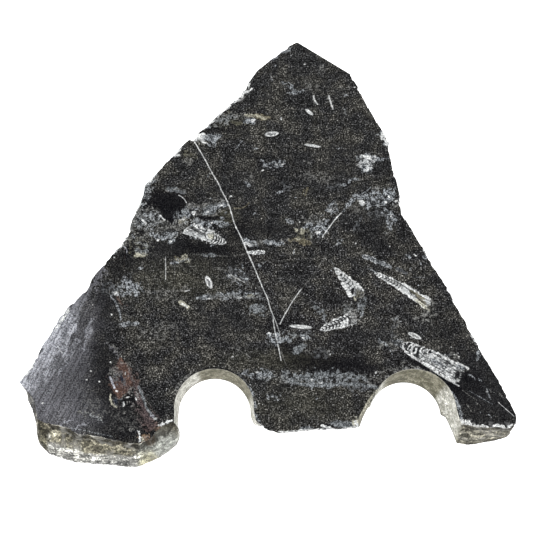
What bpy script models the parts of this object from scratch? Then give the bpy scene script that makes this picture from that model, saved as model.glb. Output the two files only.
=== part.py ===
"""A slab of black limestone with straight-shelled nautiloid fossils, lying on its sawn underside.

The upper face is polished, one short edge is sawn, two half-round notches are left by a core
drill, and every other edge is broken. The fossils are polished flush with the stone, so they
are colour and not shape. X runs along the slab, Y across it, and Z up from the underside. The
origin is the middle of the footprint. Sizes are in millimetres until the mesh is made.
"""

import math
from collections import namedtuple

import bpy
import numpy as np
from mathutils import Vector
from mathutils.geometry import delaunay_2d_cdt

MM = 0.001
NODE_NAME = "fossil_slab"

THICKNESS = 25.0
POINT_SPACING = 3.4
ARC_STEP_DEG = 3.0

# The core drill stood a little askew, so each notch narrows and shifts towards the underside.
LEFT_DRILL_RIM = ((-40.5, -138.0), 30.75)
LEFT_DRILL_FOOT = ((-41.0, -137.0), 28.3)
RIGHT_DRILL_RIM = ((114.5, -139.5), 32.0)
RIGHT_DRILL_FOOT = ((109.0, -140.0), 28.3)

# The polished face dips towards the left corner, beyond a line across it.
DIP_LINE_POINT = (-140.0, -40.0)
DIP_LINE_WAY = (0.33, -0.944)
DIP_LENGTH = 76.0
DIP_DEPTH = 4.0
DIP_GRID = 13.0

# Hollows in the polished face and bites out of its rim: centre, radius, depth.
Hollow = namedtuple("Hollow", "x y radius depth")
HOLLOWS = (
    Hollow(-105.0, -130.0, 6.5, 1.8),
    Hollow(-113.0, -110.0, 7.0, 0.7),
    Hollow(-24.0, 130.0, 6.0, 5.0),
    Hollow(-17.0, 136.0, 4.5, 3.5),
    Hollow(-59.5, 91.5, 4.5, 3.0),
    Hollow(-76.0, 77.0, 3.5, 2.0),
    Hollow(98.5, 89.0, 4.0, 3.5),
    Hollow(-119.0, -5.0, 4.0, 2.0),
    Hollow(156.0, -151.5, 5.0, 2.6),
    Hollow(172.0, -154.0, 5.0, 3.2),
    Hollow(185.0, -154.5, 5.0, 3.0),
    Hollow(-92.0, -165.0, 5.0, 2.4),
    Hollow(56.0, -156.0, 5.0, 2.0),
)

# How far out from rim to foot a wall has come at each of these shares of its height.
DEPTH_SHARES = (0.0, 0.09, 0.22, 0.37, 0.52, 0.68, 0.86, 1.0)
STRAIGHT = DEPTH_SHARES
BROKEN = (0.0, 0.2, 0.45, -0.3, 0.0, 1.1, 1.3, 1.0)
LEDGED = (0.0, 0.09, 0.14, 0.24, 0.74, 0.8, 1.02, 1.0)
GROOVED = (0.0, -0.2, 0.5, 0.8, 0.96, 1.05, 1.07, 1.0)

# Roughness is how deep the broken hollows of a wall are; ledges rise and fall by a third of it.
Stretch = namedtuple("Stretch", "rim foot profile roughness")
SAWN, DRILLED, WORN, SPLIT = 0.0, 0.15, 2.8, 5.0
UNDERCUT = 1.6
BIG_FLAKE, SMALL_FLAKE = 19.0, 7.5
EDGE_SHARE = 0.18  # of that roughness, at the rim and the foot
LEDGE_RUN = 34.0  # length over which a ledge fades, swells, rises and falls
LEDGE_WANDER = 3.0


def arc(circle, start_deg, end_deg):
    """Points of a circle, given as centre and radius, from one angle to the other."""
    (x, y), radius = circle
    steps = max(2, round(abs(end_deg - start_deg) / ARC_STEP_DEG))
    angles = [math.radians(a) for a in np.linspace(start_deg, end_deg, steps + 1)]
    return [(x + radius * math.cos(a), y + radius * math.sin(a)) for a in angles]


def set_in(rim, distance):
    """The rim moved towards the inside of the slab, which is on the left of the way it runs."""
    points = np.array(rim)
    way = np.gradient(points, axis=0)
    way /= np.linalg.norm(way, axis=1)[:, None]
    return points + distance * np.stack([-way[:, 1], way[:, 0]], axis=1)


def sample(line, shares):
    """Points at these shares of a line's length."""
    points = np.array(line, float)
    steps = np.linalg.norm(np.diff(points, axis=0), axis=1)
    run = np.concatenate([[0.0], np.cumsum(steps)]) / steps.sum()
    return np.stack([np.interp(shares, run, points[:, k]) for k in (0, 1)], axis=1)


def length_of(line):
    return np.linalg.norm(np.diff(np.array(line, float), axis=0), axis=1).sum()


def upper_left_edge():
    rim = [
        (26, 180), (19, 177), (10, 168.5), (0, 160.5), (-9, 151.5), (-14, 146), (-17, 138),
        (-22, 132), (-30, 122), (-40, 112.5), (-50, 101.5), (-57, 95), (-60.5, 89), (-64, 89),
        (-70, 83.5), (-77, 75), (-84, 67), (-92, 57), (-99, 49.5), (-101, 40), (-105, 28),
        (-110, 15), (-111, 8), (-116, -1), (-122, -9), (-130, -20), (-137, -29), (-142, -40),
        (-150, -49), (-158, -57), (-163, -64), (-170, -77), (-176, -87), (-180, -96),
        (-184, -104), (-190, -112), (-193, -117),
    ]
    return Stretch(rim, set_in(rim, UNDERCUT), BROKEN, SPLIT)


def left_corner():
    rim = [(-193, -117), (-190, -121), (-185, -126), (-181, -131), (-179, -139), (-178.5, -147)]
    foot = [(-190.5, -117.5), (-189, -124), (-186, -130), (-183, -137), (-182, -144)]
    return Stretch(rim, foot, BROKEN, WORN)


def lobe_end():
    rim = [(-178.5, -147), (-172, -149.5), (-165, -151.5)]
    foot = [(-182, -144), (-181, -150), (-180, -156), (-178, -161), (-174, -166), (-170, -170)]
    return Stretch(rim, foot, LEDGED, SPLIT)


def lobe_front():
    rim = [
        (-165, -151.5), (-155, -153), (-150, -156), (-145, -159), (-135, -160), (-125, -162),
        (-118, -164), (-110, -166), (-97, -167),
    ]
    foot = [(-170, -170), (-160, -173), (-150, -176), (-140, -177), (-120, -178.5), (-103, -180)]
    return Stretch(rim, foot, LEDGED, SPLIT)


def lobe_bulge():
    rim = [(-97, -167), (-88, -162), (-85, -158), (-80, -153), (-71, -150)]
    foot = [
        (-103, -180), (-97, -178.5), (-90, -175.5), (-83, -172), (-77, -168), (-70, -162),
        (-68, -157), (-68, -152),
    ]
    return Stretch(rim, foot, GROOVED, WORN)


def left_notch():
    rim = [(-71, -150), *arc(LEFT_DRILL_RIM, 180, -4), (-9.5, -143), (-8, -149)]
    foot = [(-68, -152), (-70, -147), *arc(LEFT_DRILL_FOOT, 180, -4), (-11.5, -142), (-10, -146)]
    return Stretch(rim, foot, STRAIGHT, DRILLED)


def middle_edge():
    rim = [
        (-8, -149), (-5, -152), (5, -157), (12, -159), (30, -156), (50, -156), (60, -153.5),
        (71, -154),
    ]
    foot = [(-10, -146), (5, -150), (14, -152), (30, -149.5), (50, -149), (60, -147), (73, -148)]
    return Stretch(rim, foot, BROKEN, WORN)


def right_notch():
    rim = [
        (71, -154), (70.5, -148), (77, -139), (83, -131), *arc(RIGHT_DRILL_RIM, 148, 6),
        (148, -145), (150, -151),
    ]
    foot = [
        (73, -148), (76, -140), (80, -132.5), *arc(RIGHT_DRILL_FOOT, 162, 4), (141, -140),
        (144, -147), (147, -155), (149, -161),
    ]
    return Stretch(rim, foot, STRAIGHT, DRILLED)


def right_lobe():
    rim = [(150, -151), (162, -153), (175, -154), (188, -154.5), (192, -152), (193, -146)]
    foot = [
        (149, -161), (158, -162.5), (170, -160.5), (180, -158.5), (188, -156.5), (192, -153),
        (192.5, -147),
    ]
    return Stretch(rim, foot, LEDGED, WORN)


def right_edge():
    rim = [
        (193, -146), (190, -137), (182, -119), (176, -109), (174, -104), (169, -95), (165, -85),
        (159, -75), (158, -70), (150, -55), (147, -47), (144, -40), (138, -30), (129, -14),
        (127.5, -8.5), (122, 0), (116, 12), (110, 23), (108.5, 30), (109, 40), (106, 52),
        (104, 58), (101.5, 72), (98.5, 81), (99, 86), (95, 96), (90, 106), (83, 123), (76, 140),
        (70.5, 149.5),
    ]
    return Stretch(rim, set_in(rim, UNDERCUT), BROKEN, SPLIT)


def sawn_edge():
    rim = [(70.5, 149.5), (26, 180)]
    return Stretch(rim, rim, STRAIGHT, SAWN)


def outline():
    """The slab's edge, anticlockwise from its top corner."""
    return (
        upper_left_edge(), left_corner(), lobe_end(), lobe_front(), lobe_bulge(), left_notch(),
        middle_edge(), right_notch(), right_lobe(), right_edge(), sawn_edge(),
    )


def face_height(points):
    """Height of the polished face: level, less the dip at the left corner and the hollows."""
    way = np.array(DIP_LINE_WAY)
    from_line = points - np.array(DIP_LINE_POINT)
    beyond = -(from_line[:, 0] * -way[1] + from_line[:, 1] * way[0])
    share = np.clip(beyond / DIP_LENGTH, 0.0, 1.0)
    height = THICKNESS - DIP_DEPTH * share * share * (3.0 - 2.0 * share)
    for hollow in HOLLOWS:
        reach = np.hypot(points[:, 0] - hollow.x, points[:, 1] - hollow.y) / hollow.radius
        height -= hollow.depth * np.clip(1.0 - reach * reach, 0.0, 1.0)
    return height


def lattice(i, j, k):
    """A fixed value between -1 and 1 for each whole-number place, by integer hashing."""
    n = (i * 374761393 + j * 668265263 + k * 1440662683 + 974711) & 0xFFFFFFFF
    n = ((n ^ (n >> 13)) * 1274126177) & 0xFFFFFFFF
    return ((n ^ (n >> 16)) & 0xFFFF) / 32767.5 - 1.0


def grain(points, size):
    """Smooth noise between -1 and 1, its lumps this large: lattice values blended in a cell."""
    cell = np.floor(points / size).astype(np.int64)
    t = points / size - cell
    t = t * t * (3.0 - 2.0 * t)
    total = np.zeros(len(points))
    for corner in np.ndindex(2, 2, 2):
        weight = np.prod(np.where(corner, t, 1.0 - t), axis=1)
        total += weight * lattice(*(cell + corner).T)
    return total


def flaked(points):
    """Push of a broken wall, 0 at the sharp crests between flakes and about -1 in a hollow."""
    big = np.abs(grain(points, BIG_FLAKE))
    small = np.abs(grain(points + 100.0, SMALL_FLAKE))
    return -0.65 * big - 0.5 * small


def smooth_round(values):
    """Each row softened with its neighbours on the closed ring."""
    return (np.roll(values, 1, axis=0) + 2.0 * values + np.roll(values, -1, axis=0)) / 4.0


def ring_points():
    """Rim, foot, profile and roughness at every point round the slab."""
    rims, feet, profiles, roughness = [], [], [], []
    for stretch in outline():
        longest = max(length_of(stretch.rim), length_of(stretch.foot))
        count = max(2, round(longest / POINT_SPACING))
        shares = np.arange(count) / count
        rims.append(sample(stretch.rim, shares))
        feet.append(sample(stretch.foot, shares))
        profiles.append(np.tile(stretch.profile, (count, 1)))
        roughness.append(np.full((count, 1), stretch.roughness))
    return (
        np.vstack(rims),
        np.vstack(feet),
        smooth_round(np.vstack(profiles)),
        np.vstack(roughness)[:, 0],
    )


def outward(ring):
    """Unit normals of the anticlockwise ring, pointing away from the slab."""
    way = np.roll(ring, -1, axis=0) - np.roll(ring, 1, axis=0)
    way /= np.linalg.norm(way, axis=1)[:, None]
    return np.stack([way[:, 1], -way[:, 0]], axis=1)


def wall_rings():
    """The wall as rings of points, from the rim of the polished face down to the underside."""
    rim, foot, profiles, roughness = ring_points()
    normals = outward(rim)
    rim_height = face_height(rim)
    along = grain(np.column_stack([rim, 0.0 * rim_height]), LEDGE_RUN)
    swell = np.clip(0.7 + along, 0.1, 1.2)
    rings = []
    for level, depth in enumerate(DEPTH_SHARES):
        share = depth + (profiles[:, level] - depth) * swell
        flat = rim + (foot - rim) * share[:, None]
        height = rim_height * (1.0 - depth)
        places = np.column_stack([flat, 1.4 * height])
        at_edge = depth in (0.0, 1.0)
        push = roughness * flaked(places) * (EDGE_SHARE if at_edge else 1.0)
        if not at_edge:
            wander = LEDGE_WANDER * np.roll(along, 7) * 4.0 * depth * (1.0 - depth)
            broken = np.minimum(roughness / WORN, 1.0)
            height = height + wander * broken
            height = height + roughness / 3.0 * grain(places + 50.0, SMALL_FLAKE)
        rings.append(np.column_stack([flat + normals * push[:, None], height]))
    return rings


def well_inside(points, ring, margin):
    """Whether each point is inside the ring and at least this far from its corners."""
    start, end = ring, np.roll(ring, -1, axis=0)
    x, y = points[:, :1], points[:, 1:]
    spans = (start[:, 1] > y) != (end[:, 1] > y)
    rise = np.where(end[:, 1] == start[:, 1], 1.0, end[:, 1] - start[:, 1])
    crossing = start[:, 0] + (y - start[:, 1]) * (end[:, 0] - start[:, 0]) / rise
    inside = (spans & (x < crossing)).sum(axis=1) % 2 == 1
    nearest = np.hypot(x - start[:, 0], y - start[:, 1]).min(axis=1)
    return inside & (nearest > margin)


def face_points(rim):
    """Points inside the polished face: a grid over the dip, and two rounds in each hollow."""
    left, bottom = rim.min(axis=0)
    across = np.arange(left, -85.0, DIP_GRID)
    along = np.arange(bottom, -30.0, DIP_GRID)
    grid = np.stack(np.meshgrid(across, along), axis=-1).reshape(-1, 2)
    points = [grid[well_inside(grid, rim, 0.45 * DIP_GRID)]]
    for hollow in HOLLOWS:
        for share, count in ((0.1, 1), (0.55, 6), (1.0, 10)):
            angles = np.arange(count) * 2.0 * math.pi / count
            circle = np.stack([np.cos(angles), np.sin(angles)], axis=1)
            spots = np.array((hollow.x, hollow.y)) + share * hollow.radius * circle
            points.append(spots[well_inside(spots, rim, 1.2)])
    return np.vstack(points)


def cap(ring, inner):
    """Triangles that fill a ring and use the inner points: corner numbers in ring + inner."""
    flat = [Vector(p) for p in np.vstack([ring, inner])]
    count = len(ring)
    edges = [(i, (i + 1) % count) for i in range(count)]
    verts, _, faces, origins, _, _ = delaunay_2d_cdt(flat, edges, [], 1, 1e-6)
    number = [min(found) for found in origins]
    return [tuple(number[i] for i in face) for face in faces]


def wall_faces(levels, count):
    """Two triangles for each cell between neighbouring rings, their diagonals alternating."""
    faces = []
    for level in range(levels - 1):
        for i in range(count):
            upper, lower = level * count, (level + 1) * count
            j = (i + 1) % count
            a, b, c, d = upper + i, lower + i, lower + j, upper + j
            halves = ((a, b, c), (a, c, d)) if (i + level) % 2 else ((a, b, d), (b, c, d))
            faces.extend(halves)
    return faces


def stone(name, colour, roughness):
    material = bpy.data.materials.new(name)
    material.use_nodes = True
    shader = material.node_tree.nodes["Principled BSDF"]
    shader.inputs["Base Color"].default_value = (*colour, 1.0)
    shader.inputs["Roughness"].default_value = roughness
    shader.inputs["Metallic"].default_value = 0.0
    return material


def slab_mesh():
    rings = wall_rings()
    rim, foot = rings[0][:, :2], rings[-1][:, :2]
    inner = face_points(rim)
    count = len(rim)
    walls = wall_faces(len(rings), count)
    first_inner = len(rings) * count
    top = [
        tuple(i if i < count else first_inner + i - count for i in face)
        for face in cap(rim, inner)
    ]
    last_ring = (len(rings) - 1) * count
    under = [tuple(last_ring + i for i in reversed(face)) for face in cap(foot, foot[:0])]
    points = np.vstack([*rings, np.column_stack([inner, face_height(inner)])])
    mesh = bpy.data.meshes.new(NODE_NAME)
    mesh.from_pydata((points * MM).tolist(), [], walls + top + under)
    mesh.materials.append(stone("broken_stone", (0.24, 0.23, 0.21), 0.85))
    mesh.materials.append(stone("polished_stone", (0.035, 0.035, 0.037), 0.2))
    polished = range(len(walls), len(walls) + len(top))
    for index in polished:
        mesh.polygons[index].material_index = 1
    mesh.shade_smooth()
    mesh.set_sharp_from_angle(angle=math.radians(30))
    return mesh


def main():
    for obj in list(bpy.data.objects):
        bpy.data.objects.remove(obj)
    collection = bpy.data.collections.new("orthoceras_fossil")
    bpy.context.scene.collection.children.link(collection)
    collection.objects.link(bpy.data.objects.new(NODE_NAME, slab_mesh()))


main()
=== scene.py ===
import math

import bpy
import numpy as np
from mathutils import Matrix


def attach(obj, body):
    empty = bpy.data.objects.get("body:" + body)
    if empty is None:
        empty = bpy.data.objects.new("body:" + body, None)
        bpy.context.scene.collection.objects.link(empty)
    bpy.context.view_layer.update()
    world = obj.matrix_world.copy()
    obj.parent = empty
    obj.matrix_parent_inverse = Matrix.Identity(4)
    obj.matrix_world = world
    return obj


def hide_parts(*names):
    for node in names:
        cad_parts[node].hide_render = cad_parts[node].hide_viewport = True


# A polished slab of black limestone with straight-shelled fossils, lying on its sawn underside.
# Lengths below are millimetres in the slab's own frame: X along it, Y across it, Z up from the
# underside. They become metres only when a mesh, a lamp or the camera is made.

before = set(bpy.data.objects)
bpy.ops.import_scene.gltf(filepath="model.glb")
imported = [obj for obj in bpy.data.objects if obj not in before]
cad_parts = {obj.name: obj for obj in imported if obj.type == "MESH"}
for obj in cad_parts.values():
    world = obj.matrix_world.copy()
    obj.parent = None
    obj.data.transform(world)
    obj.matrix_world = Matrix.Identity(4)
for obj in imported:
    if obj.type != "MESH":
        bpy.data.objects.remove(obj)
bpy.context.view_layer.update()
bpy.context.scene.view_settings.view_transform = "Standard"
print("frame loaded:", sorted(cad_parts))

metre = 0.001  # one millimetre in metres


slabForm = {
    "thickness": 25.0,
    "columnSpacing": 1.1,   # between mesh columns, round the edge
    "poleRows": 3,          # from the middle of a face out to the inner ring
    "faceRows": 34,         # from the inner ring out to the rim
    "wallRows": 37,         # down the wall
    "underRows": 5,         # from the foot in to the inner ring
    "pole": (10.0, -20.0),
    "rimCrowding": 1.6,     # how strongly the face's rows crowd towards the rim
    "undercut": 1.6,        # the foot of a plain broken edge stands this far in from its rim
    "blending": 3.4,        # how far one stretch's kind of wall runs over into the next one's
    "wayRounds": 4,         # how often the way the rim runs is averaged with its neighbours
    "sharpAngle": 38,       # faces that meet at more degrees than this show a sharp edge
    "crushedAbove": 12.0,   # the rim is bruised only above this height
}

# Relief of the broken walls. A depth is a share of the wall's roughness unless it says otherwise.
wallRelief = {
    "bigFlake": (19.0, 0.65),                   # size and depth
    "smallFlake": (7.5, 0.5),
    "facets": ((6.5, 0.26), (3.1, 0.15)),       # the flat chips
    "pits": (1.7, 0.05),
    "upright": 1.4,         # relief is this much finer up the wall than along it
    "edgeShare": 0.18,      # of the flakes, at the rim and at the foot
    "chipEdgeShare": 0.35,  # of the chips and pits, there
    "chipCrest": 1.2,       # how much a chip counts as a crest beside a flake
    "lift": 3.0,            # the roughness over this is how far grain lifts the rows
    "ledgeRun": 34.0,
    "ledgeWander": 3.0,     # mm
    "ledgeLag": 7,          # the ledge wanders this many blendings behind its swell
    "ledgeSwell": (0.7, 0.1, 1.2),              # middle, least and most
    "biteDepth": 1.0,       # mm, the deepest small bite out of a broken rim
    "biteSizes": ((5.2, 1.0), (2.1, 0.8)),      # size and weight
    "biteSpared": 0.25,     # the bites' noise below this leaves the rim whole
    "biteShare": 0.12,      # of the wall's height that a bite reaches down
    "biteReach": 1.3,       # mm, how far a bite reaches into the face
    "biteFace": 0.7,        # of a bite's depth, on the face beside it
    "biteRim": 0.9,         # and on the rim itself
}

# Shifts that keep one noise from repeating another.
noiseShifts = {"smallFlake": 100.0, "bites": (31.0, 77.0), "pits": 9.0, "lift": 50.0}

# How far out from rim to foot a wall has come at each of these shares of its height.
wallLevels = (0.0, 0.09, 0.22, 0.37, 0.52, 0.68, 0.86, 1.0)
wallProfiles = {
    "straight": wallLevels,
    "broken": (0.0, 0.2, 0.45, -0.3, 0.0, 1.1, 1.3, 1.0),
    "ledged": (0.0, 0.09, 0.14, 0.24, 0.74, 0.8, 1.02, 1.0),
    "grooved": (0.0, -0.2, 0.5, 0.8, 0.96, 1.05, 1.07, 1.0),
}
wallRoughness = {"sawn": 0.0, "drilled": 0.15, "worn": 2.8, "split": 5.0}
finishOrder = ("polished", "split", "drilled", "sawn")

# Beyond a line through this point, running this way, the face sinks to its depth over its length.
faceDip = {"point": (-140.0, -40.0), "way": (0.33, -0.944), "length": 76.0, "depth": 4.0}

# Hollows in the polished face and bites out of its rim: x, y, radius, depth.
faceHollows = (
    (-105.0, -130.0, 6.5, 1.8), (-113.0, -110.0, 7.0, 0.7), (-24.0, 130.0, 6.0, 5.0),
    (-17.0, 136.0, 4.5, 3.5), (-59.5, 91.5, 4.5, 3.0), (-76.0, 77.0, 3.5, 2.0),
    (100.0, 90.5, 3.6, 2.6), (-119.0, -5.0, 4.0, 2.0), (156.0, -151.5, 5.0, 2.6),
    (172.0, -154.0, 5.0, 3.2), (185.0, -154.5, 5.0, 3.0), (-92.0, -165.0, 5.0, 2.4),
    (56.0, -156.0, 5.0, 2.0),
)

# The drill stood a little askew, so each notch has one circle at the rim and another at the foot.
drillHoles = {
    "leftRim": ((-40.5, -138.0), 30.75), "leftFoot": ((-41.0, -137.0), 28.3),
    "rightRim": ((114.5, -139.5), 32.0), "rightFoot": ((109.0, -140.0), 28.3),
}


def arcPoints(hole, startDegrees, endDegrees):
    # points of a drill circle every 3 degrees from one angle to the other
    (x, y), radius = drillHoles[hole]
    steps = max(2, round(abs(endDegrees - startDegrees) / 3.0))
    angles = np.radians(np.linspace(startDegrees, endDegrees, steps + 1))
    return list(zip(x + radius * np.cos(angles), y + radius * np.sin(angles)))


# Each stretch of the edge runs anticlockwise. "inner" is where the face's inner ring starts for it.
edgeStretches = (
    {"inner": (30, 150), "profile": "broken", "wear": "split", "rim": [
        (26, 180), (19, 177), (10, 168.5), (0, 160.5), (-9, 151.5), (-14, 146), (-17, 138),
        (-22, 132), (-30, 122), (-40, 112.5), (-50, 101.5), (-57, 95), (-60.5, 89), (-64, 89),
        (-70, 83.5), (-77, 75), (-84, 67), (-92, 57), (-99, 49.5), (-101, 40), (-105, 28),
        (-110, 15), (-111, 8), (-116, -1), (-122, -9), (-130, -20), (-137, -29), (-142, -40),
        (-150, -49), (-158, -57), (-163, -64), (-170, -77), (-176, -87), (-180, -96),
        (-184, -104), (-190, -112), (-193, -117)]},
    {"inner": (-160, -103), "profile": "broken", "wear": "worn",
     "rim": [(-193, -117), (-190, -121), (-185, -126), (-181, -131), (-179, -139), (-178.5, -147)],
     "foot": [(-190.5, -117.5), (-189, -124), (-186, -130), (-183, -137), (-182, -144)]},
    {"inner": (-153, -113), "profile": "ledged", "wear": "split",
     "rim": [(-178.5, -147), (-172, -149.5), (-165, -151.5)],
     "foot": [(-182, -144), (-181, -150), (-180, -156), (-178, -161), (-174, -166), (-170, -170)]},
    {"inner": (-146, -115), "profile": "ledged", "wear": "split",
     "rim": [(-165, -151.5), (-155, -153), (-150, -156), (-145, -159), (-135, -160),
             (-125, -162), (-118, -164), (-110, -166), (-97, -167)],
     "foot": [(-170, -170), (-160, -173), (-150, -176), (-140, -177), (-120, -178.5), (-103, -180)]},
    {"inner": (-98, -88), "profile": "grooved", "wear": "worn",
     "rim": [(-97, -167), (-88, -162), (-85, -158), (-80, -153), (-71, -150)],
     "foot": [(-103, -180), (-97, -178.5), (-90, -175.5), (-83, -172), (-77, -168), (-70, -162),
              (-68, -157), (-68, -152)]},
    {"inner": (-86, -82), "profile": "straight", "wear": "drilled",
     "rim": [(-71, -150), *arcPoints("leftRim", 180, -4), (-9.5, -143), (-8, -149)],
     "foot": [(-68, -152), (-70, -147), *arcPoints("leftFoot", 180, -4), (-11.5, -142), (-10, -146)]},
    {"inner": (6, -82), "profile": "straight", "wear": "worn",
     "rim": [(-8, -149), (-4, -153.5), (1, -156.5), (6, -158), (13, -159), (22, -158.2), (30, -157),
             (50, -156.3), (64, -155.3), (71, -154)],
     "foot": [(-10, -146), (5, -150), (14, -152), (30, -149.5), (50, -149), (60, -147), (73, -148)]},
    {"inner": (62, -82), "profile": "straight", "wear": "drilled",
     "rim": [(71, -154), (70.5, -148), (77, -139), (83, -131), *arcPoints("rightRim", 148, 6),
             (148, -145), (150, -151)],
     "foot": [(73, -148), (76, -140), (80, -132.5), *arcPoints("rightFoot", 162, 4), (141, -140),
              (144, -147), (147, -155), (149, -161)]},
    {"inner": (151, -102), "profile": "ledged", "wear": "worn",
     "rim": [(150, -151), (162, -153), (175, -154), (188, -154.5), (192, -152), (193, -146)],
     "foot": [(149, -161), (158, -162.5), (170, -160.5), (180, -158.5), (188, -156.5),
              (192, -153), (192.5, -147)]},
    {"inner": (160, -100), "profile": "broken", "wear": "split", "rim": [
        (193, -146), (190, -137), (182, -119), (176, -109), (174, -104), (169, -95), (165, -85),
        (159, -75), (158, -70), (150, -55), (147, -47), (144, -40), (138, -30), (129, -14),
        (127.5, -8.5), (122, 0), (116, 12), (110, 23), (108.5, 30), (109, 40), (106, 52),
        (104.6, 58), (102.5, 71), (100.6, 79), (101.5, 86), (98, 95), (91, 106), (83, 123),
        (76, 140), (70.5, 149.5)]},
    {"inner": (60, 125), "profile": "straight", "wear": "sawn",
     "rim": [(70.5, 149.5), (26, 180)], "foot": [(70.5, 149.5), (26, 180)]},
)


def setIn(rim, distance):
    # the rim moved to the left of the way it runs, which is into the slab
    points = np.array(rim, float)
    way = np.gradient(points, axis=0)
    way /= np.linalg.norm(way, axis=1)[:, None]
    return points + distance * np.stack([-way[:, 1], way[:, 0]], axis=1)


def pointsAlong(line, shares):
    # points of a broken line at these shares of its whole length
    points = np.array(line, float)
    steps = np.linalg.norm(np.diff(points, axis=0), axis=1)
    run = np.concatenate([[0.0], np.cumsum(steps)]) / steps.sum()
    return np.stack([np.interp(shares, run, points[:, k]) for k in (0, 1)], axis=1)


def lineLength(line):
    return np.linalg.norm(np.diff(np.array(line, float), axis=0), axis=1).sum()


def lattice(i, j, k):
    # a fixed value from -1 to 1 for each whole-number place, by integer hashing
    n = (i * 374761393 + j * 668265263 + k * 1440662683 + 974711) & 0xFFFFFFFF
    n = ((n ^ (n >> 13)) * 1274126177) & 0xFFFFFFFF
    return ((n ^ (n >> 16)) & 0xFFFF) / 32767.5 - 1.0


def smooth(share):
    # from 0 to 1 with a level start and end
    return share * share * (3.0 - 2.0 * share)


def grain(points, size):
    # smooth noise from -1 to 1: lattice values at the eight corners of a cell, blended
    cell = np.floor(points / size).astype(np.int64)
    t = smooth(points / size - cell)
    total = np.zeros(len(points))
    for corner in np.ndindex(2, 2, 2):
        weight = np.prod(np.where(corner, t, 1.0 - t), axis=1)
        total += weight * lattice(*(cell + corner).T)
    return total


def facets(points, size):
    # flat tilted chips: each point lies on the plane of its nearest jittered seed
    cell = np.floor(points / size).astype(np.int64)
    nearest = np.full(len(points), 9.0)
    value = np.zeros(len(points))
    for corner in np.ndindex(3, 3, 3):
        near = cell + np.array(corner) - 1
        jitter = np.stack([lattice(*(near + shift).T) for shift in (11, 29, 47)], axis=1)
        tilt = np.stack([lattice(*(near + shift).T) for shift in (61, 83, 101)], axis=1)
        away = points / size - (near + 0.5 + 0.45 * jitter)
        gap = (away * away).sum(axis=1)
        value = np.where(gap < nearest, (away * tilt).sum(axis=1), value)
        nearest = np.minimum(gap, nearest)
    return value


def flaked(points):
    # push of a broken wall: 0 at the sharp crests between flakes and about -1 in a hollow
    (bigSize, bigDeep), (smallSize, smallDeep) = wallRelief["bigFlake"], wallRelief["smallFlake"]
    big = np.abs(grain(points, bigSize))
    small = np.abs(grain(points + noiseShifts["smallFlake"], smallSize))
    return -bigDeep * big - smallDeep * small


def chipped(points):
    # flat chips of two sizes, and pits
    chip = sum(deep * facets(points, size) for size, deep in wallRelief["facets"])
    pitSize, pitDeep = wallRelief["pits"]
    return chip + pitDeep * grain(points + noiseShifts["pits"], pitSize)


def rimBites(rim, broken):
    # depth of the small bites out of a broken rim: noise of two sizes, where it stands high
    bite = 0.0
    for (size, weight), shift in zip(wallRelief["biteSizes"], noiseShifts["bites"]):
        bite = bite + weight * grain(np.column_stack([rim, np.full(len(rim), shift)]), size)
    return wallRelief["biteDepth"] * broken * np.clip(bite - wallRelief["biteSpared"], 0.0, 1.0)


def softRound(values, times):
    # each value averaged with its neighbours on the closed ring, this many times
    for _ in range(times):
        values = (np.roll(values, 1, axis=0) + 2.0 * values + np.roll(values, -1, axis=0)) / 4.0
    return values


def faceHeight(points):
    # the thickness, less a smooth dip beyond a line, less a paraboloid for each hollow
    way = np.array(faceDip["way"])
    fromLine = points - np.array(faceDip["point"])
    beyond = -(fromLine[:, 0] * -way[1] + fromLine[:, 1] * way[0])
    share = np.clip(beyond / faceDip["length"], 0.0, 1.0)
    height = slabForm["thickness"] - faceDip["depth"] * smooth(share)
    for x, y, radius, depth in faceHollows:
        reach = np.hypot(points[:, 0] - x, points[:, 1] - y) / radius
        height -= depth * np.clip(1.0 - reach * reach, 0.0, 1.0)
    return height


def edgeColumns():
    # rim, foot, inner ring, wall profile, roughness and finish for every column round the slab
    columns = {"rim": [], "foot": [], "inner": [], "profile": [], "roughness": [], "finish": []}
    for stretch, following in zip(edgeStretches, edgeStretches[1:] + edgeStretches[:1]):
        rim = stretch["rim"]
        foot = stretch.get("foot", setIn(rim, slabForm["undercut"]))
        count = round(max(lineLength(rim), lineLength(foot)) / slabForm["columnSpacing"])
        shares = np.arange(count) / count
        finish = stretch["wear"] if stretch["wear"] in finishOrder else "split"
        columns["rim"].append(pointsAlong(rim, shares))
        columns["foot"].append(pointsAlong(foot, shares))
        columns["inner"].append(pointsAlong([stretch["inner"], following["inner"]], shares))
        columns["profile"].append(np.tile(wallProfiles[stretch["profile"]], (count, 1)))
        columns["roughness"].append(np.full((count, 1), wallRoughness[stretch["wear"]]))
        columns["finish"].append(np.full((count, 1), finishOrder.index(finish)))
    return {key: np.vstack(parts) for key, parts in columns.items()}


def ringWay(ring):
    # the way a closed ring runs at each of its points, averaged along it
    way = softRound(np.roll(ring, -1, axis=0) - np.roll(ring, 1, axis=0), slabForm["wayRounds"])
    return way / np.linalg.norm(way, axis=1)[:, None]


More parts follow.
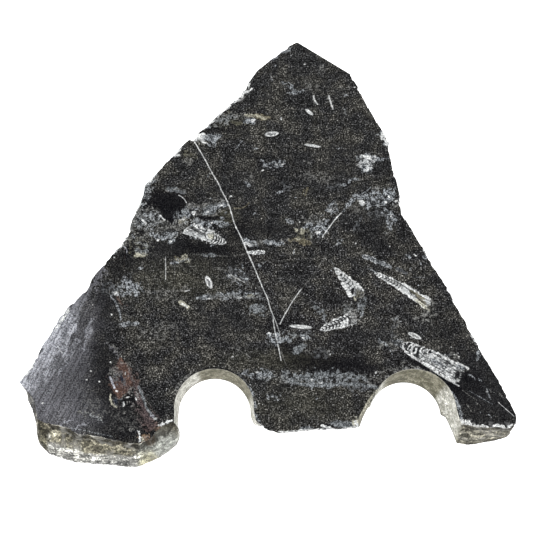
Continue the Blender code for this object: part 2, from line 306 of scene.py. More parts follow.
def wallRings(edge, broken, bites):
    # rings of points down the wall. Each goes from rim to foot by its profile, pushed out or in by
    # flakes, chips and bites and lifted by a ledge that wanders. Crest is 1 at a ridge, and drop is
    # the depth below the rim.
    relief = wallRelief
    rim, foot, roughness = edge["rim"], edge["foot"], edge["roughness"][:, 0]
    columnsBlended = slabForm["blending"] / slabForm["columnSpacing"]
    profiles = softRound(edge["profile"], round(columnsBlended * columnsBlended))
    way = ringWay(rim)
    outward = np.stack([way[:, 1], -way[:, 0]], axis=1)
    rimHeight = faceHeight(rim)
    along = grain(np.column_stack([rim, np.zeros(len(rim))]), relief["ledgeRun"])
    middle, least, most = relief["ledgeSwell"]
    swell = np.clip(middle + along, least, most)
    ledge = relief["ledgeWander"] * np.roll(along, round(relief["ledgeLag"] * columnsBlended))
    wall, crest, drop = [], [], []
    for depth in np.linspace(0.0, 1.0, slabForm["wallRows"] + 1):
        place = np.interp(depth, wallLevels, range(len(wallLevels)))
        upper = min(int(place), len(wallLevels) - 2)
        profile = profiles[:, upper] + (place - upper) * (profiles[:, upper + 1] - profiles[:, upper])
        share = depth + (profile - depth) * swell
        flat = rim + (foot - rim) * share[:, None]
        height = rimHeight * (1.0 - depth)
        places = np.column_stack([flat, relief["upright"] * height])
        within = np.interp(depth, (0.0, wallLevels[1], wallLevels[-2], 1.0), (0.0, 1.0, 1.0, 0.0))
        flake, chip = flaked(places), chipped(places)
        push = roughness * flake * (relief["edgeShare"] + (1.0 - relief["edgeShare"]) * within)
        push += roughness * chip * (relief["chipEdgeShare"] + (1.0 - relief["chipEdgeShare"]) * within)
        push -= bites * np.clip(1.0 - depth / relief["biteShare"], 0.0, 1.0)
        lift = grain(places + noiseShifts["lift"], relief["smallFlake"][0])
        lift = ledge * 4.0 * depth * (1.0 - depth) * broken + roughness / relief["lift"] * lift
        wall.append(np.column_stack([flat + outward * push[:, None], height + lift * within]))
        crest.append(np.clip(1.0 + flake + relief["chipCrest"] * chip, 0.0, 1.0))
        drop.append(rimHeight * depth)
    return wall, crest, drop


def faceRings(inner, rimRing, bites):
    # rings out over the face, from the middle to the inner ring and on to just short of the rim
    pole, rings = np.array(slabForm["pole"]), []
    for share in (np.arange(slabForm["poleRows"]) + 1.0) / (slabForm["poleRows"] + 1.0):
        flat = pole + (inner - pole) * share
        rings.append(np.column_stack([flat, faceHeight(flat)]))
    for t in np.linspace(0.0, 1.0, slabForm["faceRows"] + 1)[:-1]:
        flat = inner + (rimRing - inner) * (1.0 - (1.0 - t) ** slabForm["rimCrowding"])
        fromRim = np.linalg.norm(rimRing - flat, axis=1)
        bitten = bites * np.exp(-(fromRim / wallRelief["biteReach"]) ** 2)
        rings.append(np.column_stack([flat, faceHeight(flat) - wallRelief["biteFace"] * bitten]))
    return rings


def underRings(inner, footRing):
    # rings in over the underside, from the foot to the inner ring and half way on to the middle
    pole = np.array(slabForm["pole"])
    shares = (np.arange(slabForm["underRows"]) + 1.0) / slabForm["underRows"]
    flats = [footRing + (inner - footRing) * share for share in shares]
    flats.append(pole + (inner - pole) * 0.5)
    return [np.column_stack([flat, np.zeros(len(flat))]) for flat in flats]


def slabGrid():
    # rows of columns: out over the face, down the wall, in over the underside
    edge = edgeColumns()
    broken = np.minimum(edge["roughness"][:, 0] / wallRoughness["worn"], 1.0)
    bites = rimBites(edge["rim"], broken)
    wall, crest, drop = wallRings(edge, broken, bites)
    face = faceRings(edge["inner"], wall[0][:, :2], bites)
    under = underRings(edge["inner"], wall[-1][:, :2])
    wall[0][:, 2] -= wallRelief["biteRim"] * bites
    before, after = np.ones((len(face), len(bites))), np.ones((len(under), len(bites)))
    marks = {"crest": np.vstack([before, crest, after]),
             "drop": np.vstack([0 * before, drop, slabForm["thickness"] * after])}
    return np.array(face + wall + under), marks, len(face), len(wall), edge["finish"][:, 0]


# Bruised places on the rim, white with crushed stone: x, y, half length, half width, turn.
bruisedRims = (
    (-21, 133, 9, 2.6, 52), (-30, 122.5, 9, 2.2, 46), (-45, 107, 12, 1.6, 45),
    (-59, 92, 4, 3.2, 20), (-74, 79, 6, 1.8, 45), (-96, 52, 6, 1.5, 50), (-104, 31, 9, 1.3, 72),
    (-118, -4, 9, 1.7, 52), (-161, -66, 10, 1.2, 60), (-187, -108, 8, 1.6, 55),
    (-77, -150.6, 6, 1.5, 16), (50, -156.6, 22, 1.1, 2), (70, -151, 3, 2.6, 70),
    (-4, -154, 8, 1.4, -38), (152.5, -151, 5.5, 2.8, -4), (166, -153.2, 6, 1.3, -6),
    (179, -154.8, 5, 3.0, -3), (188.5, -154, 3.5, 2.3, 12), (98.6, 90, 6.5, 3.2, -66),
    (102.6, 75, 8, 0.9, -74), (110, 26, 9, 1.1, -75), (129, -12, 7, 1.2, -62),
    (164, -84, 6, 1.5, -63), (150, -54, 8, 1.0, -60),
)


def crushedAmount(points):
    # how much a place is crushed white: 1 within the nearest bruised ellipse, 0 beyond 1.6 of it
    amount = np.zeros(len(points))
    for x, y, longHalf, wideHalf, turn in bruisedRims:
        c, s = math.cos(math.radians(turn)), math.sin(math.radians(turn))
        dx, dy = points[:, 0] - x, points[:, 1] - y
        reach = np.hypot((dx * c + dy * s) / longHalf, (dy * c - dx * s) / wideHalf)
        amount = np.maximum(amount, np.clip(1.6 - reach, 0.0, 1.0))
    return amount


def slabMesh():
    # the mesh of the grid, closed by a fan round each pole, and the material slot of every face
    rows, marks, firstWall, wallCount, finish = slabGrid()
    rowCount, columnCount = rows.shape[:2]
    points = rows.reshape(-1, 3)
    number = np.arange(rowCount * columnCount).reshape(rowCount, columnCount)
    following = np.roll(number, -1, axis=1)
    quads = np.stack([number[:-1], number[1:], following[1:], following[:-1]], axis=-1)
    sawn = finishOrder.index("sawn")
    slots = np.zeros((rowCount - 1, columnCount), int)
    slots[firstWall:firstWall + wallCount - 1] = finish[None, :]
    slots[firstWall + wallCount - 1:] = sawn
    slots = np.concatenate([slots.ravel(), np.zeros(columnCount, int), np.full(columnCount, sawn)])
    pole = np.array(slabForm["pole"])
    tops = np.array([[*pole, faceHeight(pole[None])[0]], [*pole, 0.0]])
    topFan = np.stack([np.full(columnCount, len(points)), number[0], following[0]], axis=-1)
    lowFan = np.stack([np.full(columnCount, len(points) + 1), following[-1], number[-1]], axis=-1)
    points = np.vstack([points, tops])
    faces = quads.reshape(-1, 4).tolist() + topFan.tolist() + lowFan.tolist()
    mesh = bpy.data.meshes.new("orthoceras_slab")
    mesh.from_pydata((points * metre).tolist(), [], faces)
    marks = {name: np.append(values.ravel(), (1.0, 1.0)) for name, values in marks.items()}
    marks["crushed"] = crushedAmount(points) * (points[:, 2] > slabForm["crushedAbove"])
    for name, values in marks.items():
        layer = mesh.attributes.new(name, "FLOAT", "POINT")
        layer.data.foreach_set("value", values.astype(np.float32))
    return mesh, slots


veryLong = 1e6  # a scale that flattens a coordinate


class Shading:
    # short ways to add nodes to one tree; each takes sockets or plain values

    def __init__(self, tree):
        self.tree = tree

    def add(self, kind, inputs, **settings):
        made = self.tree.nodes.new("ShaderNode" + kind)
        for key, value in settings.items():
            setattr(made, key, value)
        for place, value in inputs.items():
            self.give(made.inputs[place], value)
        return made

    def give(self, socket, value):
        if isinstance(value, bpy.types.NodeSocket):
            self.tree.links.new(value, socket)
        else:
            socket.default_value = value

    def fill(self, name, values):
        # the inputs of a node that the tree already has
        for title, value in values.items():
            self.give(self.tree.nodes[name].inputs[title], value)

    def math(self, operation, *values):
        return self.add("Math", dict(enumerate(values)), operation=operation).outputs[0]

    def vector(self, operation, *values):
        return self.add("VectorMath", dict(enumerate(values)), operation=operation).outputs[0]

    def remap(self, value, low, high, toLow=0.0, toHigh=1.0):
        places = {"Value": value, "From Min": low, "From Max": high, "To Min": toLow, "To Max": toHigh}
        return self.add("MapRange", places, interpolation_type="SMOOTHSTEP", clamp=False).outputs[0]

    def blend(self, share, first, second, kind="MIX"):
        places = {0: share, 6: asColour(first), 7: asColour(second)}
        return self.add("Mix", places, data_type="RGBA", blend_type=kind).outputs[2]

    def brighten(self, colour, power):
        # the colour times e to a power
        bright = self.math("EXPONENT", power)
        grey = self.add("CombineColor", {0: bright, 1: bright, 2: bright}).outputs[0]
        return self.blend(1.0, colour, grey, "MULTIPLY")

    def noise(self, vector, size, detail, roughness=0.5, dimensions="2D", part=0):
        # part 0 is a value and part 1 a colour
        places = {"Vector": vector, "Scale": 1.0 / size, "Detail": detail, "Roughness": roughness}
        return self.add("TexNoise", places, noise_dimensions=dimensions).outputs[part]

    def streaks(self, vector, x, y, turn, long, wide, detail=3.0):
        # noise drawn out along one direction of the face
        return self.noise(self.local(vector, x, y, turn, long, wide), 1.0, detail, 0.6)

    def layers(self, vector, scale, detail, turn=0.0):
        # noise with a scale of its own each way, for the layers and grooves of a wall
        places = {"Vector": vector, "Rotation": (0.0, 0.0, turn), "Scale": scale}
        return self.noise(self.add("Mapping", places).outputs[0], 1.0, detail, 0.6, "3D")

    def attribute(self, name):
        # what the mesh says at each of its points
        return self.add("Attribute", {}, attribute_name=name).outputs["Fac"]

    def millimetres(self):
        place = self.add("TexCoord", {}).outputs["Object"]
        return self.add("Mapping", {"Vector": place, "Scale": (1 / metre,) * 3}).outputs[0]

    def local(self, vector, x, y, turn, scaleX, scaleY):
        # coordinates about a point, turned and scaled, with the height taken out
        places = {"Vector": vector, "Location": (x, y, 0.0), "Rotation": (0.0, 0.0, math.radians(turn)),
                  "Scale": (scaleX, scaleY, veryLong)}
        return self.add("Mapping", places, vector_type="TEXTURE").outputs[0]

    def nearness(self, vector, x, y, wide, long, turn):
        # 1 in the middle of an ellipse, falling evenly to 0 at its edge
        place = self.local(vector, x, y, turn, wide, long)
        return self.add("TexGradient", {"Vector": place}, gradient_type="SPHERICAL").outputs[1]

    def along(self, ground, x, y, turn, scale):
        # distance from a point in one direction, over a scale; the ground's height has to be 1
        a, b = math.cos(math.radians(turn)) / scale, math.sin(math.radians(turn)) / scale
        places = {0: ground, 1: (a, b, -a * x - b * y)}
        return self.add("VectorMath", places, operation="DOT_PRODUCT").outputs["Value"]

    def curve(self, value, points, handle="AUTO_CLAMPED"):
        made = self.add("FloatCurve", {"Value": value})
        line = made.mapping.curves[0]
        while len(line.points) < len(points):
            line.points.new(0.5, 0.5)
        for spot, (x, y) in zip(line.points, sorted(points)):
            spot.location = (x, y)
            spot.handle_type = handle
        made.mapping.update()
        return made.outputs[0]


def newMaterial(name):
    # a material and the helper that adds to its tree
    material = bpy.data.materials.new(name)
    material.use_nodes = True
    return material, Shading(material.node_tree)


def asColour(value):
    return (*value, 1.0) if isinstance(value, tuple) and len(value) == 3 else value


# Two shades for each tone in the stone, dark and light: a fine mottle runs between them.
stoneTones = {
    "ink": ((0.003, 0.003, 0.004), (0.012, 0.012, 0.013)),
    "coal": ((0.010, 0.010, 0.011), (0.034, 0.034, 0.035)),
    "slate": ((0.022, 0.024, 0.026), (0.125, 0.130, 0.138)),
    "ash": ((0.022, 0.022, 0.021), (0.230, 0.230, 0.222)),
    "steel": ((0.026, 0.029, 0.033), (0.400, 0.425, 0.450)),
    "pewter": ((0.050, 0.055, 0.059), (0.265, 0.283, 0.298)),
    "chalk": ((0.340, 0.350, 0.355), (0.900, 0.910, 0.900)),
    "shell": ((0.460, 0.475, 0.480), (0.880, 0.895, 0.890)),
    "cream": ((0.180, 0.174, 0.140), (0.600, 0.585, 0.480)),
    "tan": ((0.060, 0.054, 0.038), (0.240, 0.218, 0.155)),
    "olive": ((0.028, 0.027, 0.019), (0.125, 0.121, 0.088)),
    "rust": ((0.050, 0.031, 0.026), (0.176, 0.106, 0.082)),
    "plum": ((0.024, 0.019, 0.020), (0.118, 0.091, 0.091)),
    "amber": ((0.080, 0.057, 0.040), (0.210, 0.145, 0.100)),
    "night": ((0.008, 0.010, 0.016), (0.034, 0.040, 0.058)),
    # veil and mist are painted sheen, light reflected where the face dips; mist also draws a few pale
    # marks in the stone
    "veil": ((0.050, 0.050, 0.056), (0.175, 0.176, 0.196)),
    "mist": ((0.150, 0.155, 0.178), (0.540, 0.555, 0.605)),
}


# What each kind of edge does: share of the radius that is soft, how far noise tears it, and which
# of the bent coordinates it is drawn on.
markEdges = {
    "crisp": (0.16, 0.0, "Straight"),
    "fine": (0.30, 1.2, "Straight"),
    "rough": (0.25, 1.6, "Ruffled"),
    "torn": (0.42, 5.6, "Bent"),
    "cloud": (0.95, 1.6, "Bent"),
}

# In each table of marks a string names the tone and the edge of the marks that follow it. Broad
# marks come first, then what lies on them. A spot is an ellipse: x, y, half length, half width,
# turn, strength.
stonePatches = (
    # black and brown ground
    "ink cloud", (-78, 33, 19, 13, -15, 0.95), (-74, 24, 9, 9, 0, 0.9), (-56, -8, 38, 6.5, -3, 0.9),
    (-22, 10, 9, 14, -20, 0.8), (-116, -20, 16, 9, 35, 0.8), (-38, -19, 34, 7, -3, 0.5),
    (165, -130, 34, 26, -30, 0.85), (92, 2, 26, 10, -20, 0.5), (140, -80, 30, 8, -58, 0.4),
    (4, 62, 30, 14, 0, 0.3), (-82, 34, 16, 8, -5, 0.9), (-79, 24, 7, 8, 0, 0.85),
    (-60, -6, 28, 4.2, -3, 0.85), (-45, 98.5, 12, 3, 2, 0.85), (-27, 100, 9, 2, 0, 0.5),
    "coal cloud", (6, 9, 17, 8, 0, 0.7), "ink cloud", (-5, 10, 12, 5, 0, 0.6),
    (38, -103, 28, 6.5, -2, 0.9), (44, -102.5, 30, 6, -2, 0.9), (72, -107, 18, 5, -3, 0.8),
    (15, -89, 5, 6, 0, 0.9), (26, -99, 12, 5, -8, 0.9), (-107, -150, 13, 9, 8, 0.75),
    "coal cloud", (166, -124, 26, 34, 25, 0.6), "ink cloud", (140, -121, 16, 6, -32, 0.8),
    "coal cloud", (60, 81, 12, 3.5, 8, 0.7), (-38, -72, 20, 11, 0, 0.5),
    "ink cloud", (5, -71, 9, 6, 0, 0.6), "coal cloud", (85, 20, 16, 7, -20, 0.6),
    (-20, 45, 26, 18, 0, 0.35), (62, 60, 30, 16, 0, 0.35), (-85, -6, 14, 4.5, 0, 0.7),
    "olive cloud", (-70, -34, 36, 15, 0, 0.28), (0, -100, 34, 7, 0, 0.25), (30, -136, 30, 13, 0, 0.22),
    (-34, 21, 9, 5, 0, 0.5), "coal cloud", (30, 150, 26, 18, 0, 0.25), (80, -78, 30, 12, 0, 0.3),
    # top
    "olive torn", (-36, 109, 8, 5, 0, 0.5), "ash torn", (-24, 110.5, 8, 2.2, 2, 0.75),
    "olive torn", (-30, 105, 15, 2.6, 3, 0.6), "ash torn", (-36, 108, 7, 4.4, 0, 0.75),
    "ash rough", (-47, 101, 5, 0.9, 5, 0.6), "cream rough", (-13, 111.3, 5, 1.4, -3, 0.8),
    "tan rough", (-4, 109.6, 7.5, 2.8, -8, 0.9), "cream torn", (-5, 109.6, 5, 1.6, -6, 0.7),
    "steel rough", (-16.5, 106, 3.4, 2.2, 0, 0.9), (-12, 106, 3.6, 2.9, 0, 0.95),
    "chalk rough", (-11.5, 106.6, 1.7, 1.3, 0, 0.8), (-54, 91.6, 5.5, 3.2, 10, 0.95),
    (-51, 86.3, 3.2, 0.8, -15, 0.8), "steel rough", (-46, 90.5, 6.5, 3.6, -5, 0.9),
    (-40, 92.6, 3.4, 1.4, 5, 0.9), "steel torn", (-45, 86.6, 3.4, 2.6, 0, 0.6),
    (16, 140.5, 2.6, 1.1, -20, 0.7), (21, 136.6, 3.4, 1.5, -45, 0.8), (24, 133.8, 5, 2, 10, 0.85),
    "ash torn", (37.5, 138.5, 5.5, 3, -55, 0.6), (52.5, 127, 4.6, 2.4, 80, 0.6),
    "ash rough", (65.5, 130.5, 2, 1.7, 0, 0.6), "ash torn", (66, 137, 3.2, 1.6, 10, 0.5),
    (46, 154, 3, 3, 0, 0.4), "steel torn", (7, 67, 6.5, 2.8, 15, 0.7),
    "ash rough", (34, 68.4, 3.2, 1, -35, 0.6), "steel rough", (82.4, 71.4, 7.4, 4.6, -6, 0.95),
    (90, 72, 6.4, 1.9, -12, 0.85), (81.8, 65.4, 4.8, 6.4, 0, 0.95),
    "chalk torn", (82, 69.4, 5.4, 5.4, 0, 0.5), "chalk rough", (82.4, 73.6, 5, 1.3, -10, 0.9),
    (86, 71, 3, 1, -50, 0.8), "slate torn", (80, 71, 1.2, 2.2, -20, 0.8),
    (86, 68, 1.2, 2.4, -20, 0.7), "chalk rough", (82, 61.6, 2, 1.2, 20, 0.7),
    "coal rough", (79.6, 71.4, 0.8, 1.8, -25, 0.8), (84.6, 70, 1.6, 0.6, -50, 0.8),
    (82, 66.4, 2.2, 0.4, 10, 0.7), "olive torn", (-66, 76, 7, 2.6, -15, 0.6),
    "ash rough", (-64, 70, 4.2, 2.6, 0, 0.9), "olive rough", (-64, 70, 2.4, 1.2, 0, 0.9),
    "steel rough", (-73, 75.6, 3.4, 1.4, 30, 0.85),
    # left middle
    "ash torn", (-97, 21, 13, 7, -15, 0.8), "steel torn", (-101, 16, 10, 6, 0, 0.7),
    "ash torn", (-88, 11, 15, 6, -5, 0.85), "steel torn", (-104, 20, 4.5, 8, -15, 0.75),
    (-92, 17, 7, 6, 0, 0.6), "ash rough", (-82, 45, 2.7, 1.3, -30, 0.9),
    "pewter rough", (-75, 44, 7, 2.3, -10, 0.9), (-68.6, 42, 3, 1.8, -20, 0.7),
    "steel torn", (-70, 20, 6.5, 5, 0, 0.8), "pewter rough", (-63, 25.5, 7, 5, 40, 0.9),
    "ash rough", (-54, 28.5, 9, 3.8, 5, 0.9), "pewter rough", (-44, 29.4, 9, 3, 12, 0.9),
    "steel rough", (-36, 31, 5, 2.9, 20, 0.95), "pewter rough", (-47, 25, 6.4, 3, 12, 0.9),
    "ash torn", (-56, 23.5, 5.5, 4, 0, 0.6), "chalk rough", (-59.5, 23.6, 2.1, 1.9, 0, 1),
    (-36.4, 30.4, 2.4, 1.1, 25, 0.9), (-67, 18.6, 3.4, 1, 25, 0.85),
    "ink rough", (-47, 19.6, 18, 1.9, -1, 0.85), (-80, 27, 8, 5, -10, 0.95), (-79, 21, 3.6, 5, 0, 0.95),
    "ash torn", (-71, 12.5, 11, 4.4, 0, 0.85), "tan torn", (-64, 17, 8, 1.9, 0, 0.5),
    "steel torn", (-55, 14, 8, 3.2, -15, 0.9), "chalk rough", (-56, 12.4, 3, 1.4, 10, 0.85),
    (-58.6, 13.6, 1.1, 1.9, 20, 0.8), "steel torn", (-45, 15.6, 9, 1.9, 0, 0.8),
    "steel rough", (-34.5, 13.6, 3.6, 1.8, 10, 0.9), "steel torn", (-40, 17, 5, 1.2, 10, 0.6),
    "ash torn", (-96, 4.6, 12, 2.2, 6, 0.8), "ink rough", (-101.5, 7.6, 3.3, 1.2, 0, 0.85),
    "steel torn", (-80, 4, 9.5, 2.1, 12, 0.85), "chalk rough", (-87.5, 0.3, 1.5, 1.1, 10, 0.85),
    "steel rough", (-76.5, -0.4, 3.4, 2.1, 35, 0.9), "ash torn", (-72, 6, 4, 3, 20, 0.7),
    (-102, -2.5, 8.5, 5, -12, 0.85), "olive torn", (-102, -6, 8, 5, -10, 0.75),
    "cream rough", (-101.4, -12.4, 5.4, 2.2, 4, 0.85), "pewter torn", (-99, -9.4, 4.6, 2, 0, 0.8),
    (-105, -6.4, 3.6, 1.6, -30, 0.6), "steel torn", (-99, -4, 6, 1, -20, 0.5),
    "pewter rough", (-45, -12.8, 7, 1.3, -3, 0.9), "steel rough", (-43.6, -4.7, 2, 0.9, 10, 0.9),
    # middle and right
    "steel rough", (-15.5, 49, 3.2, 1.7, -35, 0.7), "ash torn", (-13, 53, 5, 3, -30, 0.4),
    "steel rough", (11, 42, 2.7, 1.2, 30, 0.8), "slate torn", (15, 47, 4.2, 2.6, 20, 0.7),
    "tan rough", (33, 44.8, 2.2, 1.1, 60, 0.7), "ash torn", (40, 55, 12, 4, -15, 0.45),
    "steel rough", (18.5, 16.5, 3.4, 1.9, -20, 0.75), "cream rough", (24, 8.6, 1.8, 1.6, 0, 0.85),
    (29, 8, 2.1, 3, -20, 0.9), "steel rough", (32.5, 12.2, 4.2, 1.6, 40, 0.85),
    (36, 9.6, 1.5, 3.8, 0, 0.8), "steel torn", (43, 11, 6.5, 6.5, -30, 0.9),
    "chalk rough", (41, 7, 2.4, 1.4, 10, 0.9), "ash torn", (38, 18, 6.5, 2.6, 0, 0.6),
    "ink cloud", (51.5, 19, 3, 3, 0, 0.6), "steel rough", (-14, -2.2, 6, 3, -14, 0.95),
    "chalk rough", (-15, -3.4, 3.6, 1.5, -14, 0.8), "ash torn", (-6, -2.6, 4, 2.4, 0, 0.7),
    "steel rough", (4, -2.2, 6, 2.3, -8, 0.9), "steel torn", (10, -2.4, 4.4, 1.7, 5, 0.8),
    "ash rough", (14.5, 0.2, 3.2, 1.9, 0, 0.8), "coal rough", (14.5, 0.2, 1.8, 0.9, 0, 0.9),
    "tan rough", (29, -1, 6.6, 2.7, -20, 0.85), "cream rough", (26, 1.2, 1.7, 1.2, 0, 0.95),
    "olive torn", (31, 5, 6.5, 3.4, 0, 0.6), "tan torn", (19, -1, 3, 2, 0, 0.6),
    "slate rough", (52.6, 31, 4.6, 1.8, 50, 0.85), "steel rough", (49.5, 26, 2.8, 1.4, 0, 0.85),
    "steel torn", (55, 26, 3.2, 3, 0, 0.6), "steel rough", (68, 32.5, 5.4, 1.9, 45, 0.95),
    "steel torn", (74, 37.6, 3.6, 2.9, -30, 0.9), "steel rough", (80, 38.2, 2.8, 1.5, 20, 0.95),
    "chalk rough", (77.6, 32.6, 3.2, 1.9, -40, 0.9), "steel torn", (80, 29.6, 2.4, 2.2, 0, 0.8),
    (90, 39.5, 11, 4, 15, 0.85), (97, 41.6, 6, 3, 0, 0.85),
    "steel rough", (101, 39.4, 4.4, 2.7, -40, 0.95), "steel torn", (97, 33.6, 4.8, 2.6, 20, 0.9),
    "chalk rough", (105, 34, 1.9, 1, 30, 0.85), "ash torn", (92, 46, 3, 1.8, 20, 0.7),
    (103, 30, 3.4, 2.6, 0, 0.7), "steel rough", (97, 26, 2.8, 1.1, -45, 0.9),
    "steel torn", (101.5, 20, 2.8, 5.4, 10, 0.85), (99, 12.4, 3, 3, 0, 0.85),
    "ash torn", (97, 6, 2.4, 1.5, -30, 0.7), "slate torn", (90, 22.5, 6, 3, 0, 0.7),
    "ash torn", (74, 26, 5, 3, 0, 0.4), "slate torn", (56, 47, 4, 1.9, 0, 0.8),
    "steel rough", (63.6, 48.5, 2.8, 1.1, 20, 0.85), (67.5, 50.8, 1.7, 1.1, 35, 0.9),
    "slate rough", (71.5, 53.5, 3.4, 1.5, 5, 0.85), "ash rough", (76, 53.4, 2.6, 1, 0, 0.6),
    "slate torn", (74, 13.5, 4.2, 2.3, 50, 0.85), "steel torn", (57, -2, 3, 1.7, 40, 0.75),
    # middle left
    "steel rough", (-73.6, -19.3, 3.3, 1.5, 10, 0.9), "cream torn", (-66.5, -16.4, 5.4, 2.2, 0, 0.6),
    "tan rough", (-71.5, -15.4, 3, 1.2, -30, 0.6), "steel rough", (-101, -23.8, 2.2, 1.1, 15, 0.8),
    "ash rough", (-99.5, -21, 1.5, 2, 0, 0.6), "steel torn", (-107, -40.4, 6.4, 4.4, -10, 0.85),
    "pewter torn", (-121, -42, 7, 4, 10, 0.8), "steel torn", (-111.5, -34, 2.6, 2.4, 0, 0.8),
    "chalk rough", (-119.5, -45, 1.9, 2.1, 0, 0.8), "steel torn", (-102, -43.4, 3.6, 3.4, 0, 0.85),
    "slate torn", (-111.5, -32, 4, 2.3, 20, 0.8), (-126, -40, 5, 4, 0, 0.6),
    "steel torn", (-110, -45, 8, 2.2, 5, 0.7), "steel rough", (-49, -48.5, 6, 2.2, 5, 0.85),
    "slate rough", (-43, -48.3, 4.5, 1.6, 0, 0.8), "ash torn", (-26, -47.5, 18, 2.3, 3, 0.85),
    "chalk rough", (-21, -48.8, 2.2, 0.9, 15, 0.85), "cream rough", (-12.6, -47.2, 3.8, 1.5, 5, 0.8),
    "steel rough", (-31, -49.5, 4, 0.9, 0, 0.7), "slate torn", (-23, -31, 9, 5.2, -40, 0.7),
    "steel rough", (-16, -33.4, 2.3, 1.3, 10, 0.8), "steel torn", (-6, -21.6, 3.8, 1.6, 25, 0.7),
    "slate rough", (-90, -44.5, 4, 1.4, 0, 0.7), (-109, -71, 7, 1.9, 0, 0.9),
    "steel rough", (-112.6, -71.5, 2.5, 1.8, 0, 0.85), (-102.5, -70.6, 1.8, 1.5, 0, 0.85),
    (-109, -69.2, 1.6, 0.9, 0, 0.75), "ash rough", (-99, -76, 4, 1.1, -50, 0.6),
    "ash torn", (-80, -47, 12, 4, -10, 0.35), (-84, -78, 12, 6, 25, 0.35),
    # lower middle
    "pewter torn", (-8, -59, 7, 4, -5, 0.9), "steel torn", (5, -83, 4.5, 3.8, 0, 0.85),
    "steel rough", (9.5, -82, 2.6, 4.2, 10, 0.8), (16.5, -83.2, 3.3, 2.6, -20, 0.95),
    "ash rough", (22, -80.8, 4, 1.2, 0, 0.7), "slate torn", (30, -78.2, 6, 2.6, 0, 0.85),
    "steel rough", (30.5, -82, 4, 2.3, -10, 0.9), "pewter rough", (24.5, -92, 4.4, 2.9, 50, 0.95),
    "ash rough", (32, -93.5, 2, 1.6, 0, 0.7), "pewter rough", (28, -88.6, 3.4, 2, 0, 0.7),
    "ash rough", (48.5, -92.7, 2, 1.3, 20, 0.7), "slate rough", (40, -97.4, 2.8, 1.7, 20, 0.8),
    "slate torn", (45, -94, 8, 3, 0, 0.5), (-13, -112, 9, 2.4, 2, 0.85),
    "pewter torn", (-3, -112.6, 8, 3.6, -5, 0.8), "pewter rough", (1, -112, 4.2, 2.2, 0, 0.7),
    "pewter torn", (15.5, -112.5, 2.8, 4, 5, 0.8), (22, -116, 6, 2.9, -10, 0.8),
    (32, -115, 9, 4.6, 0, 0.75), (45, -119, 9, 2.4, -3, 0.85), (55, -113, 9, 3.4, -8, 0.75),
    (62, -119, 6, 3, 0, 0.8), "slate torn", (72, -120, 8, 5, -20, 0.85),
    "pewter torn", (68, -114, 4.6, 2.3, 0, 0.6), "ash torn", (10, -115, 14, 3, -8, 0.5),
    "steel torn", (-14, -124, 3.4, 2.2, -50, 0.7), "ash torn", (80, -117, 7, 4, 0, 0.5),
    "pewter rough", (58.5, -151.4, 9.5, 2.4, -3, 0.9), "ink rough", (48.5, -152.6, 8, 0.8, -20, 0.8),
    "chalk rough", (47, -154.2, 6.6, 1.3, -22, 0.95), "cream rough", (69.3, -150, 3.2, 3.2, 0, 0.9),
    "steel rough", (31, -154.4, 5, 1.2, 5, 0.8), "ash torn", (92, -88.6, 4.2, 2, 0, 0.8),
    (97, -90.4, 5, 1.3, -5, 0.8), "ash rough", (107, -102.6, 2.6, 0.9, 0, 0.7),
    "ash torn", (100, -107, 10, 1.4, 8, 0.5),
    # right
    "ash torn", (126, -66, 5.4, 4.6, 0, 0.85), "pewter torn", (41, -60, 3, 6, 45, 0.75),
    (75, -57, 2.4, 7, -25, 0.7), "steel torn", (74.5, -64.3, 2.2, 1.6, 0, 0.75),
    "pewter torn", (65, -59.6, 4, 4.4, 0, 0.8), "ash torn", (104, -68, 3.2, 3, -20, 0.85),
    "steel torn", (167, -97, 4.6, 2.1, -5, 0.9), "ash torn", (102, -86, 5, 3.4, -30, 0.95),
    "ash rough", (147.5, -97, 4.2, 1.9, -32, 0.85), "slate torn", (138, -96, 6, 2, -15, 0.6),
    "steel rough", (109, -107.6, 4, 1.2, 5, 0.8), (117, -107.6, 2.5, 1.3, -20, 0.8),
)


